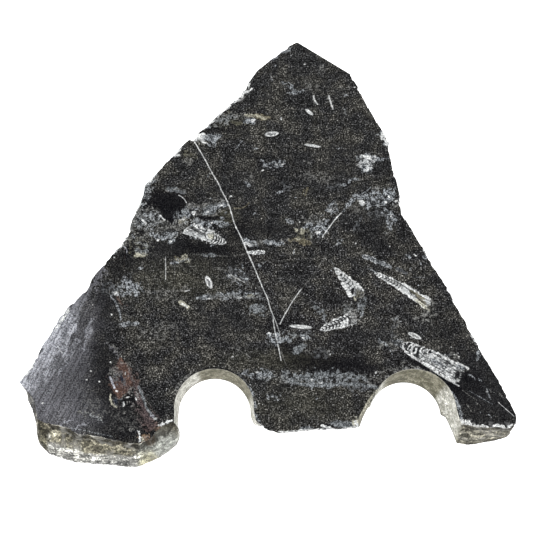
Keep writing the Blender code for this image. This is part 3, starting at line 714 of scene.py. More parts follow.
# Lines in the stone: half width (one for all, or one for each point), strength, and the points.
# Each runs forward along the way from its first point to its last.
stoneStrokes = (
    # long thin veins
    "chalk fine",
    (0.42, 0.85, (-60, 88), (-50, 70), (-46, 62), (-44, 58), (-40, 51), (-36, 42), (-32, 34),
         (-30, 29), (-28, 22), (-27, 18), (-25, 12), (-22, 6), (-19, -1), (-17, -6), (-15, -11)),
    (0.45, 0.85, (-15, -11), (-12, -18), (-8, -28), (-4, -38), (-2, -43), (1, -50), (3, -58), (5, -63)),
    (0.4, 0.7, (5, -63), (6.5, -76), (8, -83), (9.5, -90), (11.5, -101)),
    (0.3, 0.6, (4, -61), (7, -68), (9, -74), (10.5, -80), (10, -86)),
    "ash fine", (0.3, 0.6, (11, -90), (13, -98), (15.5, -105), (17, -112), (20, -122)),
    "chalk crisp", (0.4, 0.75, (10.5, -71), (15, -62), (20, -53), (28, -41.4)),
    "ash fine", (0.35, 0.7, (28, -41.4), (36, -31), (43, -20.6), (49, -12.6)),
    (0.3, 0.6, (-33, 56), (-31, 53), (-29.5, 49)), (0.3, 0.6, (-30, 58), (-28, 55)),
    "steel fine", (0.4, 0.8, (-47.5, 54.5), (-48, 57), (-45, 59)),
    "tan fine", (0.5, 0.7, (-14, 33), (-18, 29), (-22, 27.8), (-27, 28)),
    "ash fine", (0.4, 0.6, (45, -10), (48, -13), (47, -16), (43, -19)),
    "steel fine", (0.5, 0.6, (22, -8), (22, -13)),
    # top
    "steel torn", (1, 0.7, (22, 176), (14, 170), (5, 162)),
    "chalk rough", ((1.6, 1.2, 0.6), 0.9, (-22, 131), (-17, 134), (-11.5, 136.6)),
    "steel fine", (0.5, 0.7, (3, 149), (5, 143)), "ash fine", (0.4, 0.6, (45, 157), (45.5, 150)),
    (0.35, 0.6, (48.5, 156), (49, 151)), "steel fine", (0.35, 0.7, (65, 118), (66, 112)),
    (0.6, 0.8, (17, 139), (21, 137), (24, 134), (29, 133)),
    "ash fine", (0.5, 0.6, (35, 136), (38, 139), (40, 142)),
    "chalk fine", (0.6, 0.75, (39.5, 130), (40, 126), (43, 121)),
    (0.6, 0.85, (52, 130), (53.6, 123), (55.6, 116.6)),
    "steel fine", (0.4, 0.7, (12, 110.5), (11.5, 107)), (0.5, 0.8, (-20, 88), (-23, 84), (-25, 81)),
    "ash fine", (0.3, 0.6, (47, 86), (51, 88.5), (55, 89)), (0.3, 0.5, (33, 98.5), (45, 98.5)),
    "steel fine", (0.5, 0.7, (92, 72.6), (101, 72)), "steel torn", (1.2, 0.8, (94, 97), (98.5, 84)),
    # left
    "ash torn", (2.8, 0.75, (-88, 59), (-96, 48), (-101, 40), (-104, 28), (-109, 12), (-117, -4)),
    "steel rough", (1, 0.8, (-90, 58), (-98, 49), (-101, 38)),
    "steel torn", (2.2, 0.7, (-92, 52), (-99, 42), (-103, 30)),
    "veil torn", (2.6, 0.8, (-130, -22), (-139, -38), (-146, -49), (-158, -60)),
    "steel rough", (1.2, 0.8, (-110, 14), (-113, 4), (-119, -5)),
    "ash fine", (0.35, 0.8, (-94, 38), (-97, 35)), (0.6, 0.8, (-84, 45), (-80, 42)),
    (0.5, 0.8, (-77, 44), (-70, 44), (-66, 41)), "chalk fine",
    (0.35, 0.8, (-72, 39.5), (-67.6, 36.6), (-66.4, 35), (-64.7, 32)),
    (0.6, 0.85, (-100.5, 18), (-97, 13.5)), (0.5, 0.85, (-86.4, 21.8), (-82, 17)),
    "steel fine", (0.5, 0.8, (-109, 6), (-106, 1.5)),
    "steel torn", (1.2, 0.8, (-95, 6), (-88, 4), (-80, 4), (-72, 7)),
    "ink rough", (0.8, 0.9, (-62, 28), (-61.5, 24), (-61, 20)),
    "ink torn", (0.6, 0.75, (-108, 10), (-98, 7.5), (-88, 8.5), (-78, 7), (-70, 9)),
    (0.6, 0.75, (-106, 16), (-96, 17), (-88, 14), (-80, 13), (-72, 16)),
    (0.5, 0.75, (-102, 25), (-94, 24), (-88, 20)),
    (0.6, 0.75, (-100, 1.5), (-90, 1.6), (-84, 6), (-76, 9)),
    (0.6, 0.75, (-68, 22), (-58, 27), (-50, 26), (-42, 27)),
    "ash torn", (0.6, 0.7, (-108, 21), (-100, 21), (-90, 17), (-80, 15.6)),
    "ink fine", (0.35, 0.7, (-111, -2), (-104, -1), (-96, -2.4)),
    (0.35, 0.7, (-111, -5.4), (-104, -4.4), (-96, -5.6)),
    (0.35, 0.7, (-110, -8.6), (-103, -7.8), (-96, -8.6)),
    "ash torn", (1.2, 0.85, (-66, 28), (-60, 31), (-50, 31), (-40, 32), (-31, 33)),
    "ash fine", (0.8, 0.8, (-50, 22), (-42, 22), (-37, 27)),
    (0.35, 0.7, (-60, -12), (-45, -13), (-30, -13.5), (-15, -11)),
    "steel torn", (0.8, 0.8, (-50, 14), (-44, 15.4), (-38, 17)),
    # right middle
    "chalk crisp", (0.45, 0.8, (45, 2), (47, 6), (51, 11.5), (54, 16), (57, 20), (61, 24)),
    "chalk fine", (0.5, 0.8, (55.5, 18), (58.5, 21.4)),
    "steel crisp", (0.4, 0.8, (61, 24), (65, 29), (70, 34), (73, 38), (80, 42), (86, 47)),
    "steel fine", (0.8, 0.85, (50, 30), (55, 33)), (0.8, 0.85, (67, 51), (71, 54), (76, 53)),
    "tan fine", (0.5, 0.7, (31, 38), (34, 46)), (0.4, 0.6, (29, 39), (31, 45)),
    "steel fine", (0.4, 0.7, (-16, 49), (-13, 47)),
    # middle left
    "steel fine", (0.5, 0.85, (-72, -15), (-68, -18), (-63, -16), (-62, -19)),
    "chalk crisp", (0.3, 0.6, (-81, -14), (-80.5, -34)),
    "ash crisp", (0.15, 0.4, (-74, -14), (-73.5, -30)), (0.15, 0.45, (-93, -56), (-93.5, -62)),
    (0.14, 0.3, (-51, -50), (-51, -85)), "steel fine",
    (0.6, 0.9, (-105, -40), (-108, -36.5), (-113, -35), (-112, -31)),
    (0.6, 0.9, (-100, -35), (-101.5, -39), (-106, -41), (-112, -40)),
    (0.7, 0.8, (-124, -47), (-118, -56), (-115, -68)),
    "rust torn", (1.2, 0.5, (-119, -48), (-115.5, -52), (-113, -56)),
    "ash torn", (1.1, 0.7, (-95, -44), (-85, -43), (-72, -42), (-60, -41)),
    "chalk fine", (0.5, 0.75, (-65, -43.4), (-61, -42.6)),
    "cream rough", (1.5, 0.95, (-70, -52), (-66, -54), (-61, -58)),
    "chalk fine", (0.7, 0.9, (-68, -53.6), (-65, -55), (-62, -57.4)),
    "steel torn", (0.7, 0.8, (-38, -47), (-28, -46), (-18, -45), (-5, -46)),
    "ash torn", (0.6, 0.75, (-32, -49.5), (-20, -49), (-5, -48)),
    "steel fine", (0.55, 0.95, (-33, -28), (-27, -33), (-20, -38)),
    "chalk fine", (0.45, 0.6, (-29, -29), (-23, -33), (-17, -36)),
    "steel fine", (0.6, 0.8, (-26, -25), (-21, -26), (-16, -30)),
    "ash torn", (0.8, 0.6, (-43, -23), (-36, -25), (-30, -27)),
    "ash fine", (0.6, 0.6, (-20, -79), (-12, -83)),
    # right
    "slate fine", (0.5, 0.8, (116, -32), (121, -31.6), (127, -32)),
    "ash fine", (0.3, 0.6, (86, -75), (92, -79.5)), "ash crisp", (0.16, 0.6, (174, -118), (174, -133)),
    "steel fine", (0.3, 0.8, (157, -125), (175, -136)),
    "chalk crisp", (0.2, 0.85, (179, -134), (191, -145.5)),
    "slate torn", (1.4, 0.6, (104, -64), (100, -75), (98, -86)),
    # round the drilled notches
    "ash torn", (1, 0.7, (-72, -128), (-67, -118), (-60, -111.5), (-53, -108)),
    # a painted shadow: the black line along the top rim of the left notch
    "ink crisp",
    ((0.5, 0.9, 1, 1, 1.1, 1.3, 1.2, 0.9), 0.97, (-53, -109.6), (-46, -107.4), (-40, -107),
         (-33, -108), (-26, -111.5), (-19, -118), (-14.5, -126), (-12, -134)),
    "steel torn", (1, 0.7, (-18.5, -118.5), (-14, -126), (-10.5, -134), (-9.5, -143), (-6, -150)),
    "ash torn",
    (0.9, 0.8, (82, -131), (88, -121), (96, -112.6), (106, -108.4), (116, -107.6), (126, -110.4),
         (135, -116.6)), "steel rough",
    ((0.6, 1.1, 1.4, 1.3, 1), 0.8, (134, -116.6), (142, -125.4), (147.4, -135), (149.6, -143),
         (150.4, -149)), "ink fine", (0.4, 0.9, (137, -121), (143, -129), (146.8, -138), (148.4, -147)),
    # bottom
    "steel torn", (1.6, 0.85, (-20, -113), (-10, -111), (0, -112), (6, -114)),
    "pewter torn", (2, 0.7, (18, -117), (30, -114), (45, -112), (65, -113), (80, -117)),
    "pewter rough",
    ((1, 1.4, 1.6, 1.4, 1), 0.8, (22, -119), (35, -120.5), (48, -120.5), (62, -119.5), (92, -124)),
    "steel fine", (0.35, 0.7, (26, -119), (36, -121), (48, -121.2), (60, -120)),
    "steel torn", (0.6, 0.8, (88, -84), (93, -88), (98, -95)),
    "ash fine", (0.5, 0.7, (-28, -90), (-18, -94), (-12, -99)),
    "chalk rough", (0.5, 0.8, (8, -157.6), (20, -157.2), (30, -156), (40, -155.8), (50, -156)),
    (0.5, 0.8, (52, -155.6), (60, -154.8), (70, -153.8)),
    "chalk crisp", (0.8, 0.95, (-101.2, 18), (-99, 16.2), (-96.8, 13.6)),
    "steel crisp", (0.5, 0.85, (-97.4, 34.4), (-96, 36.4), (-94, 38.2)),
    "ash fine", (0.3, 0.8, (-73.4, -20), (-73.5, -27), (-73.6, -34)),
    "mist fine", (0.4, 0.6, (-116, -4.8), (-113, -7), (-112, -11)),
    "ink fine", (0.5, 0.8, (-58.6, 27), (-56, 25.4), (-53.4, 23.4)),
    "steel fine", (0.4, 0.75, (-27, -29), (-21, -31.6), (-16, -33.8)),
    "ash torn", (1.4, 0.7, (-28, -31.6), (-22, -35), (-17, -37.4)),
)

# Clear outlined lenses and bright dots.
stoneDots = (
    "pewter torn", (-24, -47, 17, 2.7, 0, 0.5), (14.6, -82.6, 5.6, 3, 0, 0.75),
    "steel rough", (15.4, -83.4, 2.4, 1.6, 0, 0.8), (9, -86.6, 2.6, 1.4, 30, 0.7),
    (-64, 22, 2, 2.8, 0, 0.8), (-46.5, 25, 3.6, 1.9, 35, 0.85),
    "chalk rough", (-47.2, 24.4, 1.3, 0.8, 45, 0.7), "steel rough", (-39.4, 29.6, 4.8, 1.8, 25, 0.85),
    "chalk rough", (-37, 29.6, 1.6, 1, 20, 0.8), "steel torn", (-56, 28.4, 3, 1.2, -20, 0.6),
    "ash rough", (-51.6, 30, 3.4, 1.4, -20, 0.7), "pewter torn", (-36, 107, 8, 3.4, 15, 0.6),
    "steel rough", (16, 140.6, 1.3, 0.9, 20, 0.75), "pewter torn", (22, 136.4, 2.4, 1.1, -30, 0.85),
    "steel torn", (25.4, 133.4, 2.8, 0.9, 10, 0.8), "ash torn", (37, 138.6, 2.4, 2.2, 0, 0.7),
    (68, 137, 2, 1.4, 0, 0.7), (65, 114.6, 0.8, 2.4, 20, 0.8), (4, 147, 0.8, 2.6, 20, 0.8),
    (46.6, 153.6, 1, 2.4, 0, 0.7), "ash rough", (26, 153.6, 0.7, 1.8, 30, 0.8),
    "chalk rough", (12, 108.6, 0.7, 1.5, 0, 0.85), (-73.6, 75.4, 2.5, 1.2, -25, 0.9),
    "ash torn", (-64, 70.5, 3.6, 3, 0, 0.75), "coal rough", (-64.4, 69.6, 1.5, 0.8, 0, 0.7),
    "chalk rough", (20.5, 167, 0.6, 0.6, 0, 0.8), (32, 159, 0.6, 0.5, 0, 0.8),
    "steel rough", (8, 158, 0.8, 0.5, 20, 0.7), (22, 173, 0.8, 0.6, 0, 0.7),
    "chalk rough", (74, 137.5, 0.7, 0.6, 0, 0.9), "steel rough", (66, 130, 1.5, 0.9, 0, 0.7),
    "chalk crisp", (35.7, 114.3, 3.8, 1.5, -40, 1), "steel rough", (-48, 100.5, 2.4, 0.9, 0, 0.8),
    "chalk crisp", (4.2, 94.3, 5.6, 2.2, 8, 0.95), "slate torn", (3.8, 94.2, 4, 1, 8, 0.85),
    "chalk crisp", (38, 83.6, 6.6, 1.1, -9, 1), "ash rough", (54.5, 81, 0.7, 0.6, 0, 0.9),
    "steel rough", (58, 81, 0.5, 0.5, 0, 0.9), (59.6, 81.2, 0.5, 0.5, 0, 0.9),
    (62, 82, 0.8, 0.5, 20, 0.9), "ash rough", (65.5, 80.5, 0.7, 0.6, 0, 0.8),
    "steel rough", (-9, 81, 2.1, 0.8, 0, 0.85), (-3, 69.8, 1.5, 0.9, -35, 0.9),
    "chalk rough", (8, 67, 1.3, 0.8, 20, 0.85), (13, 67, 1.1, 0.7, 30, 0.85),
    (-3, 61.5, 1.2, 0.5, 20, 0.85), "steel rough", (33, 70, 0.9, 0.5, 0, 0.8),
    "chalk rough", (-29, 38.5, 0.8, 0.7, 0, 0.9), "steel rough", (-33, 24, 0.8, 0.7, 0, 0.8),
    (-45, 36.5, 0.9, 0.6, 0, 0.8), "chalk rough", (-44, 15.2, 1.3, 0.5, 0, 0.9),
    "steel crisp", (-33.8, 13, 3.9, 1.6, 12, 0.9), "ash rough", (-33.8, 13, 2.6, 0.8, 12, 0.8),
    "chalk rough", (-74.3, 2, 0.9, 0.6, 0, 0.9), (-77, -1, 1, 0.7, 0, 0.9),
    (-122, -15, 1, 0.7, 0, 0.8), (3, -3, 1.4, 0.7, -10, 0.9), (27, 16, 0.6, 0.6, 0, 0.8),
    (46, 18, 1.1, 0.7, 30, 0.9), "steel rough", (63, 25.5, 0.7, 0.6, 0, 0.8),
    "chalk rough", (52, 27, 0.9, 0.7, 30, 0.9), (78.5, 33, 1.7, 1.1, -30, 0.9),
    "steel rough", (87, 32, 3.6, 3.3, 0, 0.8), "coal rough", (87, 32, 2.5, 2.2, 0, 0.9),
    "chalk rough", (100, 38, 1.4, 0.8, 20, 0.9), (97, 33, 1.3, 0.7, 0, 0.9),
    "steel rough", (92, 31.5, 1, 0.7, 0, 0.9), (94, 24, 1, 0.8, 0, 0.9), (96, 26, 0.8, 0.6, 0, 0.9),
    "chalk rough", (101, 21, 0.9, 0.6, 20, 0.9), "steel rough", (103, 18, 0.9, 0.6, 0, 0.9),
    (98, 12, 0.9, 0.6, 0, 0.9), (100, 9, 0.8, 0.6, 0, 0.8), (96, 6, 0.8, 0.6, 0, 0.8),
    "chalk rough", (56, -3, 0.9, 0.5, 30, 0.8), (72, -3, 0.5, 0.5, 0, 0.8), (99, -5, 0.5, 0.5, 0, 0.8),
    "steel rough", (23, 37, 1.5, 0.6, 20, 0.85), (-10, 23, 1.5, 0.6, 30, 0.8),
    "chalk rough", (-138, -55, 0.5, 0.5, 0, 0.8), (-122.5, -63, 0.6, 0.5, 0, 0.8),
    "chalk crisp", (-46, -35.8, 5.4, 2.3, 113, 1), "slate rough", (-46, -36, 3.4, 0.9, 113, 0.9),
    "chalk rough", (-36.5, -44.5, 0.6, 0.5, 0, 0.8), (-46, -49.5, 1.4, 0.6, 0, 0.9),
    (-30, -30, 0.9, 0.6, -30, 0.85), "steel crisp", (-19.3, -22, 2.2, 0.8, -70, 0.9),
    "steel rough", (114, -14, 2.4, 1.2, -40, 0.85), "chalk rough", (119, -12.5, 1.6, 0.7, -30, 0.9),
    "steel crisp", (127, -14.5, 2.2, 1.6, -30, 0.85), "coal crisp", (127, -14.5, 1.3, 0.8, -30, 0.85),
    "chalk crisp", (27, -73, 8.6, 1.5, -4, 1), "slate torn", (26, -73, 5.4, 0.5, -4, 0.7),
    "chalk rough", (74.5, -65, 0.9, 0.6, 0, 0.8), "steel rough", (103, -66.5, 0.9, 0.6, 0, 0.8),
    (106, -69, 0.9, 0.6, 0, 0.8), (115.5, -24, 0.9, 0.7, 0, 0.8), (123.5, -20, 0.9, 0.6, 0, 0.8),
    (120.5, -38.5, 0.8, 0.7, 0, 0.8), (127, -39, 0.8, 0.6, 0, 0.8),
    "chalk rough", (2.5, -78.5, 1.6, 0.5, -10, 0.85), (29, -82, 1.3, 0.8, 0, 0.8),
    (50, -95.5, 0.7, 0.6, 0, 0.85), (49, -93, 0.6, 0.6, 0, 0.8), (-7, -110, 1.4, 0.6, 0, 0.85),
    (35, -116, 1.3, 0.7, 0, 0.85), (42, -119, 1.3, 0.5, 0, 0.85),
    "steel crisp", (-14, -123, 4.4, 1.5, -45, 0.85), "slate rough", (-14, -123, 3, 0.8, -45, 0.7),
    "chalk rough", (-6, -135, 0.5, 0.5, 0, 0.8), (-3, -136, 0.5, 0.4, 0, 0.8),
    "steel torn", (4, -129, 4, 1.8, 0, 0.6), "chalk rough", (5, -130, 0.6, 0.5, 0, 0.8),
    "steel rough", (39, -131.5, 1.1, 0.7, 20, 0.85), "chalk rough", (24, -141.5, 0.7, 0.5, 0, 0.8),
    (85.5, -110.5, 0.6, 0.6, 0, 0.9), (87, -112.5, 0.6, 0.5, 0, 0.9), (84, -113, 0.5, 0.5, 0, 0.9),
    (-26.5, -98, 0.6, 0.5, 0, 0.8), "chalk crisp", (116.5, -80.5, 5.4, 1.8, -26, 0.95),
    "ash rough", (116.5, -80.5, 4.2, 0.9, -26, 0.7), "chalk rough", (150, -94.5, 0.6, 0.5, 0, 0.9),
    (150.5, -97.5, 0.6, 0.5, 0, 0.9), (147, -96, 0.5, 0.5, 0, 0.9), (145, -89.7, 0.6, 0.5, 0, 0.9),
    "steel rough", (136, -89.5, 0.7, 0.5, 0, 0.8), "chalk rough", (131, -114.5, 3.2, 0.6, -50, 0.8),
    "steel crisp", (166, -116.5, 1.9, 0.9, -38, 0.8), "ink rough", (166.6, -117, 0.8, 0.6, 0, 0.9),
    "chalk rough", (171, -126, 0.7, 0.5, 0, 0.8), "steel rough", (162, -135, 0.6, 0.5, 0, 0.8),
    (165, -142, 0.6, 0.5, 0, 0.8), (175, -145, 0.6, 0.5, 0, 0.8),
)

# The rusty patch low on the left.
rustForm = (
    "rust rough",
    ((0.5, 3.8, 7.2, 8.8, 6.2, 3.4, 1.4), 0.92, (-114, -98), (-112.8, -104), (-111.6, -111),
         (-110.6, -118), (-112, -124), (-113.4, -129), (-114, -132)),
)
rustSpots = (
    "plum torn", (-109, -122.6, 8, 2.8, -25, 0.7), (-104, -114, 1.8, 8, 32, 0.6),
    (-114, -103, 1.6, 4, 20, 0.5), "ash torn", (-104, -124, 3.4, 2.6, -30, 0.7),
    "ash rough", (-117, -111, 5.6, 4.2, -20, 0.9), "plum torn", (-116, -110, 4.6, 2, -30, 0.6),
    "slate torn", (-114, -116, 4, 3.4, 0, 0.8), "night rough", (-112.8, -115, 1.9, 2.6, 0, 0.9),
    "ash torn", (-116.6, -105.8, 3, 0.8, -20, 0.8), "chalk fine", (-110, -111, 0.5, 1.5, 0, 0.9),
    # the pit low on the left: its dark hollow, and pale specks round it that are partly its whitish rim
    # and partly painted glints
    "ink rough", (-104.8, -132.5, 5.6, 6.4, 8, 0.9), "ash rough", (-107, -130, 1.9, 0.6, 10, 0.9),
    (-104, -134.6, 2.6, 0.6, -35, 0.9), "chalk fine", (-107.6, -129.8, 1.2, 0.5, 12, 0.9),
    (-101.2, -131.4, 0.5, 1.3, 25, 0.9), "ash rough", (-103.5, -137, 2.2, 0.6, 30, 0.8),
    (-108, -134.6, 0.6, 1.8, 20, 0.8), (-105.6, -127.4, 1.8, 0.6, -30, 0.8),
    "slate torn", (-115.8, -133, 2.8, 3.2, 0, 0.9), "night rough", (-116.4, -133.4, 1.8, 2, 0, 0.8),
    "ash rough", (-110, -142.4, 1.4, 1.6, 0, 0.8), "chalk fine", (-116, -125.4, 1.3, 0.6, -25, 0.95),
    "ash rough", (-119, -144, 1.6, 0.7, 40, 0.6), "chalk fine", (-93.4, -135, 0.6, 1, 20, 0.8),
    (-91.6, -141, 0.6, 1.6, 30, 0.9), "mist rough", (-88.4, -145, 2.8, 1.4, -50, 0.9),
    "chalk fine", (-86, -147.4, 1.8, 0.9, 15, 0.95), "ink cloud", (-83, -143, 4, 5, 30, 0.6),
    "rust torn", (-89, -153, 5, 4, 20, 0.6), "amber torn", (-94, -163, 3.4, 2.8, 10, 0.9),
    (-85, -155.6, 4.4, 2, 42, 0.8), "ink torn", (-87, -157.6, 3.4, 1.2, 42, 0.7),
    "cream rough", (-95.6, -163, 1.2, 1.6, 0, 0.7), "ash torn", (-127, -144, 5, 1.2, 30, 0.35),
    (-106, -156, 4, 0.7, 15, 0.8), (-134, -136, 7, 4, 0, 0.3), (-136, -143, 8, 2.2, -20, 0.7),
    "steel torn", (-133, -145, 5, 1, -24, 0.6), "ash torn", (-108, -150, 12, 6, 0, 0.25),
)
rustStrokes = (
    "veil torn", (0.9, 0.6, (-124, -86), (-120, -92), (-115, -99)),
    "ash torn", (0.8, 0.7, (-125, -84), (-120, -90), (-116, -97)),
    "plum torn",
    ((0.8, 1.6, 2, 2.6, 3.4, 4.2, 3.8), 0.8, (-107, -112), (-103, -118), (-99.6, -127),
         (-96.4, -137), (-92, -147), (-89, -153), (-88, -158)),
    "plum rough",
    ((1.2, 1.8, 2.2, 2.4, 1.8), 0.8, (-103, -119), (-99.8, -127), (-96.6, -136), (-92.6, -145),
         (-90, -151)), "ash torn", (0.7, 0.6, (-112, -100), (-107, -108), (-101.4, -119)),
    "pewter rough",
    ((0.7, 1, 0.9, 0.8, 0.6), 0.9, (-99.4, -121), (-97.6, -126), (-94.6, -133), (-91.6, -139.6),
         (-89, -143)), "ash rough", (0.5, 0.8, (-103.6, -121.4), (-100.6, -126), (-98.6, -131)),
    "mist fine", (0.7, 0.95, (-122, -113.4), (-120, -118), (-117.6, -123.6)),
    "cream rough",
    ((0.5, 0.7, 0.8, 0.7), 0.9, (-120.6, -127), (-121, -131), (-119, -135.5), (-115.2, -138.2)),
    "ash rough", (0.5, 0.8, (-118.4, -130), (-118, -134), (-114.6, -136.4), (-112.6, -133)),
    (0.5, 0.8, (-112, -132), (-109.6, -128), (-105.6, -125.8), (-101.8, -127.6)),
    "chalk rough", (0.6, 0.8, (-110.5, -133.4), (-110.5, -138)),
    (0.6, 0.9, (-99, -156), (-97.4, -160), (-97.6, -166)),
    "ash rough", (0.4, 0.8, (-107, -156.6), (-104, -155), (-100, -153.6)),
)

# The painted sheen where the face dips: light reflected pale, brightest along the left edge, with the
# darker stone and the specks that show through it.
sheenSpots = (
    "veil cloud", (-166, -122, 30, 28, 10, 0.70), (-160, -96, 38, 17, 60, 0.68),
    (-150, -142, 28, 13, -8, 0.6), (-141, -74, 18, 7, 72, 0.45),
    "ink cloud", (-127, -55, 8, 14, 10, 0.7), "mist cloud", (-174, -85, 34, 10, 60, 0.85),
    (-189, -119, 10, 7, 60, 0.8), "mist torn", (-157, -74, 15, 5, 64, 0.35),
    (-165, -95, 24, 5, 64, 0.35), "veil cloud", (-176, -134, 10, 14, 0, 0.5),
    "ink cloud", (-121, -132, 20, 36, 18, 0.7), (-128, -98, 7, 30, 10, 0.7),
    (-106, -153, 17, 11, 0, 0.6), "coal torn", (-148, -63, 4, 3, 0, 0.6), (-144, -70, 5, 4, 0, 0.5),
    "slate torn", (-159, -80, 4, 4, 0, 0.55), (-165, -104, 4, 5, 0, 0.6), (-186, -114, 3, 2.4, 0, 0.5),
    (-174, -120, 4, 3, 0, 0.5), "coal cloud", (-158, -118, 9, 13, -30, 0.35),
    "coal torn", (-150, -84, 5, 20, -26, 0.45), "chalk fine", (-140, -116, 0.7, 0.6, 0, 0.9),
    (-130, -117.5, 0.7, 0.6, 0, 0.9), (-137, -109, 0.8, 0.6, 0, 0.8), (-122, -102, 0.7, 0.6, 0, 0.8),
    (-174, -134, 0.8, 0.6, 0, 0.9), "ink rough", (-177, -92, 1.2, 3, -30, 0.7),
)
sheenStrokes = (
    "mist torn", (1.2, 0.45, (-160, -100), (-156, -85), (-151, -70)),
    (1, 0.35, (-163, -112), (-155, -96), (-147, -82)),
    (0.9, 0.35, (-146, -92), (-142, -82), (-138, -66)),
    "chalk crisp", (0.25, 0.6, (-164, -88), (-162.6, -91), (-160, -94)),
    "steel fine", (0.5, 0.5, (-166, -118), (-168, -123), (-171, -127)),
    "mist torn", (0.6, 0.6, (-172, -153), (-160, -153), (-150, -148)),
    (0.5, 0.6, (-148, -156), (-142, -152), (-138, -150)),
    "steel fine", (0.4, 0.5, (-152, -154), (-140, -156), (-128, -159), (-118, -161)),
)

# The straight shells, cut lengthways: how pale the rim is, the septa (spacing, gap, strength, tone,
# and the shares of the length they run between), the streaks (length, width, strength, tone) and
# the two edges.
stoneCones = (
    "shell fine",
    {"rim": 0.85,
     "septa": ((3.7, 0.56, 0.95, "ink", -0.05, 0.30), (3.3, 0.45, 0.7, "coal", 0.30, 0.52),
               (2.8, 0.36, 0.45, "slate", 0.52, 1.05)),
     "streaks": ((9, 1.3, 0.8, "slate"), (2.8, 2, 0.75, "coal")),
     "upper": ((105.5, -86), (107, -85), (112, -85.4), (119, -88), (126, -91), (131, -93), (138, -96),
               (145, -100.5), (150, -103), (158, -107)),
     "lower": ((105.5, -88), (107, -91.6), (113, -97), (118, -100), (124, -104), (128, -107),
               (133, -110.5), (138, -114), (143, -117), (151, -121.5))},
    {"rim": 0.9, "septa": ((2.6, 0.42, 0.9, "coal", -0.05, 0.5),),
     "streaks": ((16, 1.1, 0.9, "slate"), (2.4, 1.6, 0.3, "slate")),
     "upper": ((86, -27), (97.5, -31), (105, -35), (115, -40.5), (121, -45), (130, -50)),
     "lower": ((86, -28.5), (96, -35.5), (104, -41), (111, -46), (118, -51), (130, -60))},
    "steel rough",
    {"rim": 0.2, "septa": ((2.8, 0.4, 0.8, "slate", -0.05, 1.05),),
     "streaks": ((5, 1.3, 0.7, "slate"),),
     "upper": ((76, -12), (80, -12), (88, -16), (97, -20), (101, -22.5)),
     "lower": ((76, -14), (79, -15.6), (85, -18.6), (91, -21.6), (100, -24.4))},
    "slate rough",
    {"rim": 0.2, "septa": (), "streaks": (),
     "upper": ((103, -22.5), (108, -24.5), (113, -27.5)),
     "lower": ((103, -25), (108, -28), (113, -30.5))},
    "shell fine",
    {"rim": 0.7, "septa": ((2.9, 0.34, 0.85, "ink", -0.05, 0.9),),
     "streaks": ((5, 1.4, 0.65, "slate"), (2.4, 2, 0.35, "coal")),
     "upper": ((54.5, -22.6), (58, -24.8), (62, -28), (68, -33.2), (73, -37.4), (78.4, -42.6)),
     "lower": ((53.6, -24), (56.4, -29.5), (59.6, -36), (63, -43.6), (67.6, -50.5))},
    {"rim": 0.6, "septa": ((2.8, 0.42, 0.95, "ink", -0.05, 0.85),),
     "streaks": ((7, 1.4, 0.85, "coal"), (2.4, 1.8, 0.5, "slate")),
     "upper": ((42, -75.5), (48, -70), (58, -65), (63, -62), (70, -58)),
     "lower": ((42, -76.5), (50, -76), (58, -74), (66, -72), (73, -70.5))},
    {"rim": 0.3, "septa": ((2.3, 0.52, 1, "coal", 0.62, 1.1),),
     "streaks": ((2.4, 1.6, 0.75, "slate"), (7, 1.2, 0.5, "slate")),
     "upper": ((-67.5, 7.5), (-60, 11), (-48, 11), (-44, 9), (-41, 6), (-38, 4), (-35, 1), (-32, -1.5)),
     "lower": ((-67.5, 5.5), (-60, 3.5), (-52, 0.5), (-45, -2.5), (-38, -3.8), (-32, -3))},
    {"rim": 0.1, "septa": ((2.4, 0.4, 0.8, "slate", 0.2, 1.05),),
     "streaks": ((3, 1.2, 0.8, "slate"),),
     "upper": ((-16, -10), (-9, -8.8), (-1, -8.4)), "lower": ((-16, -11), (-9, -12.2), (-1, -12))},
)

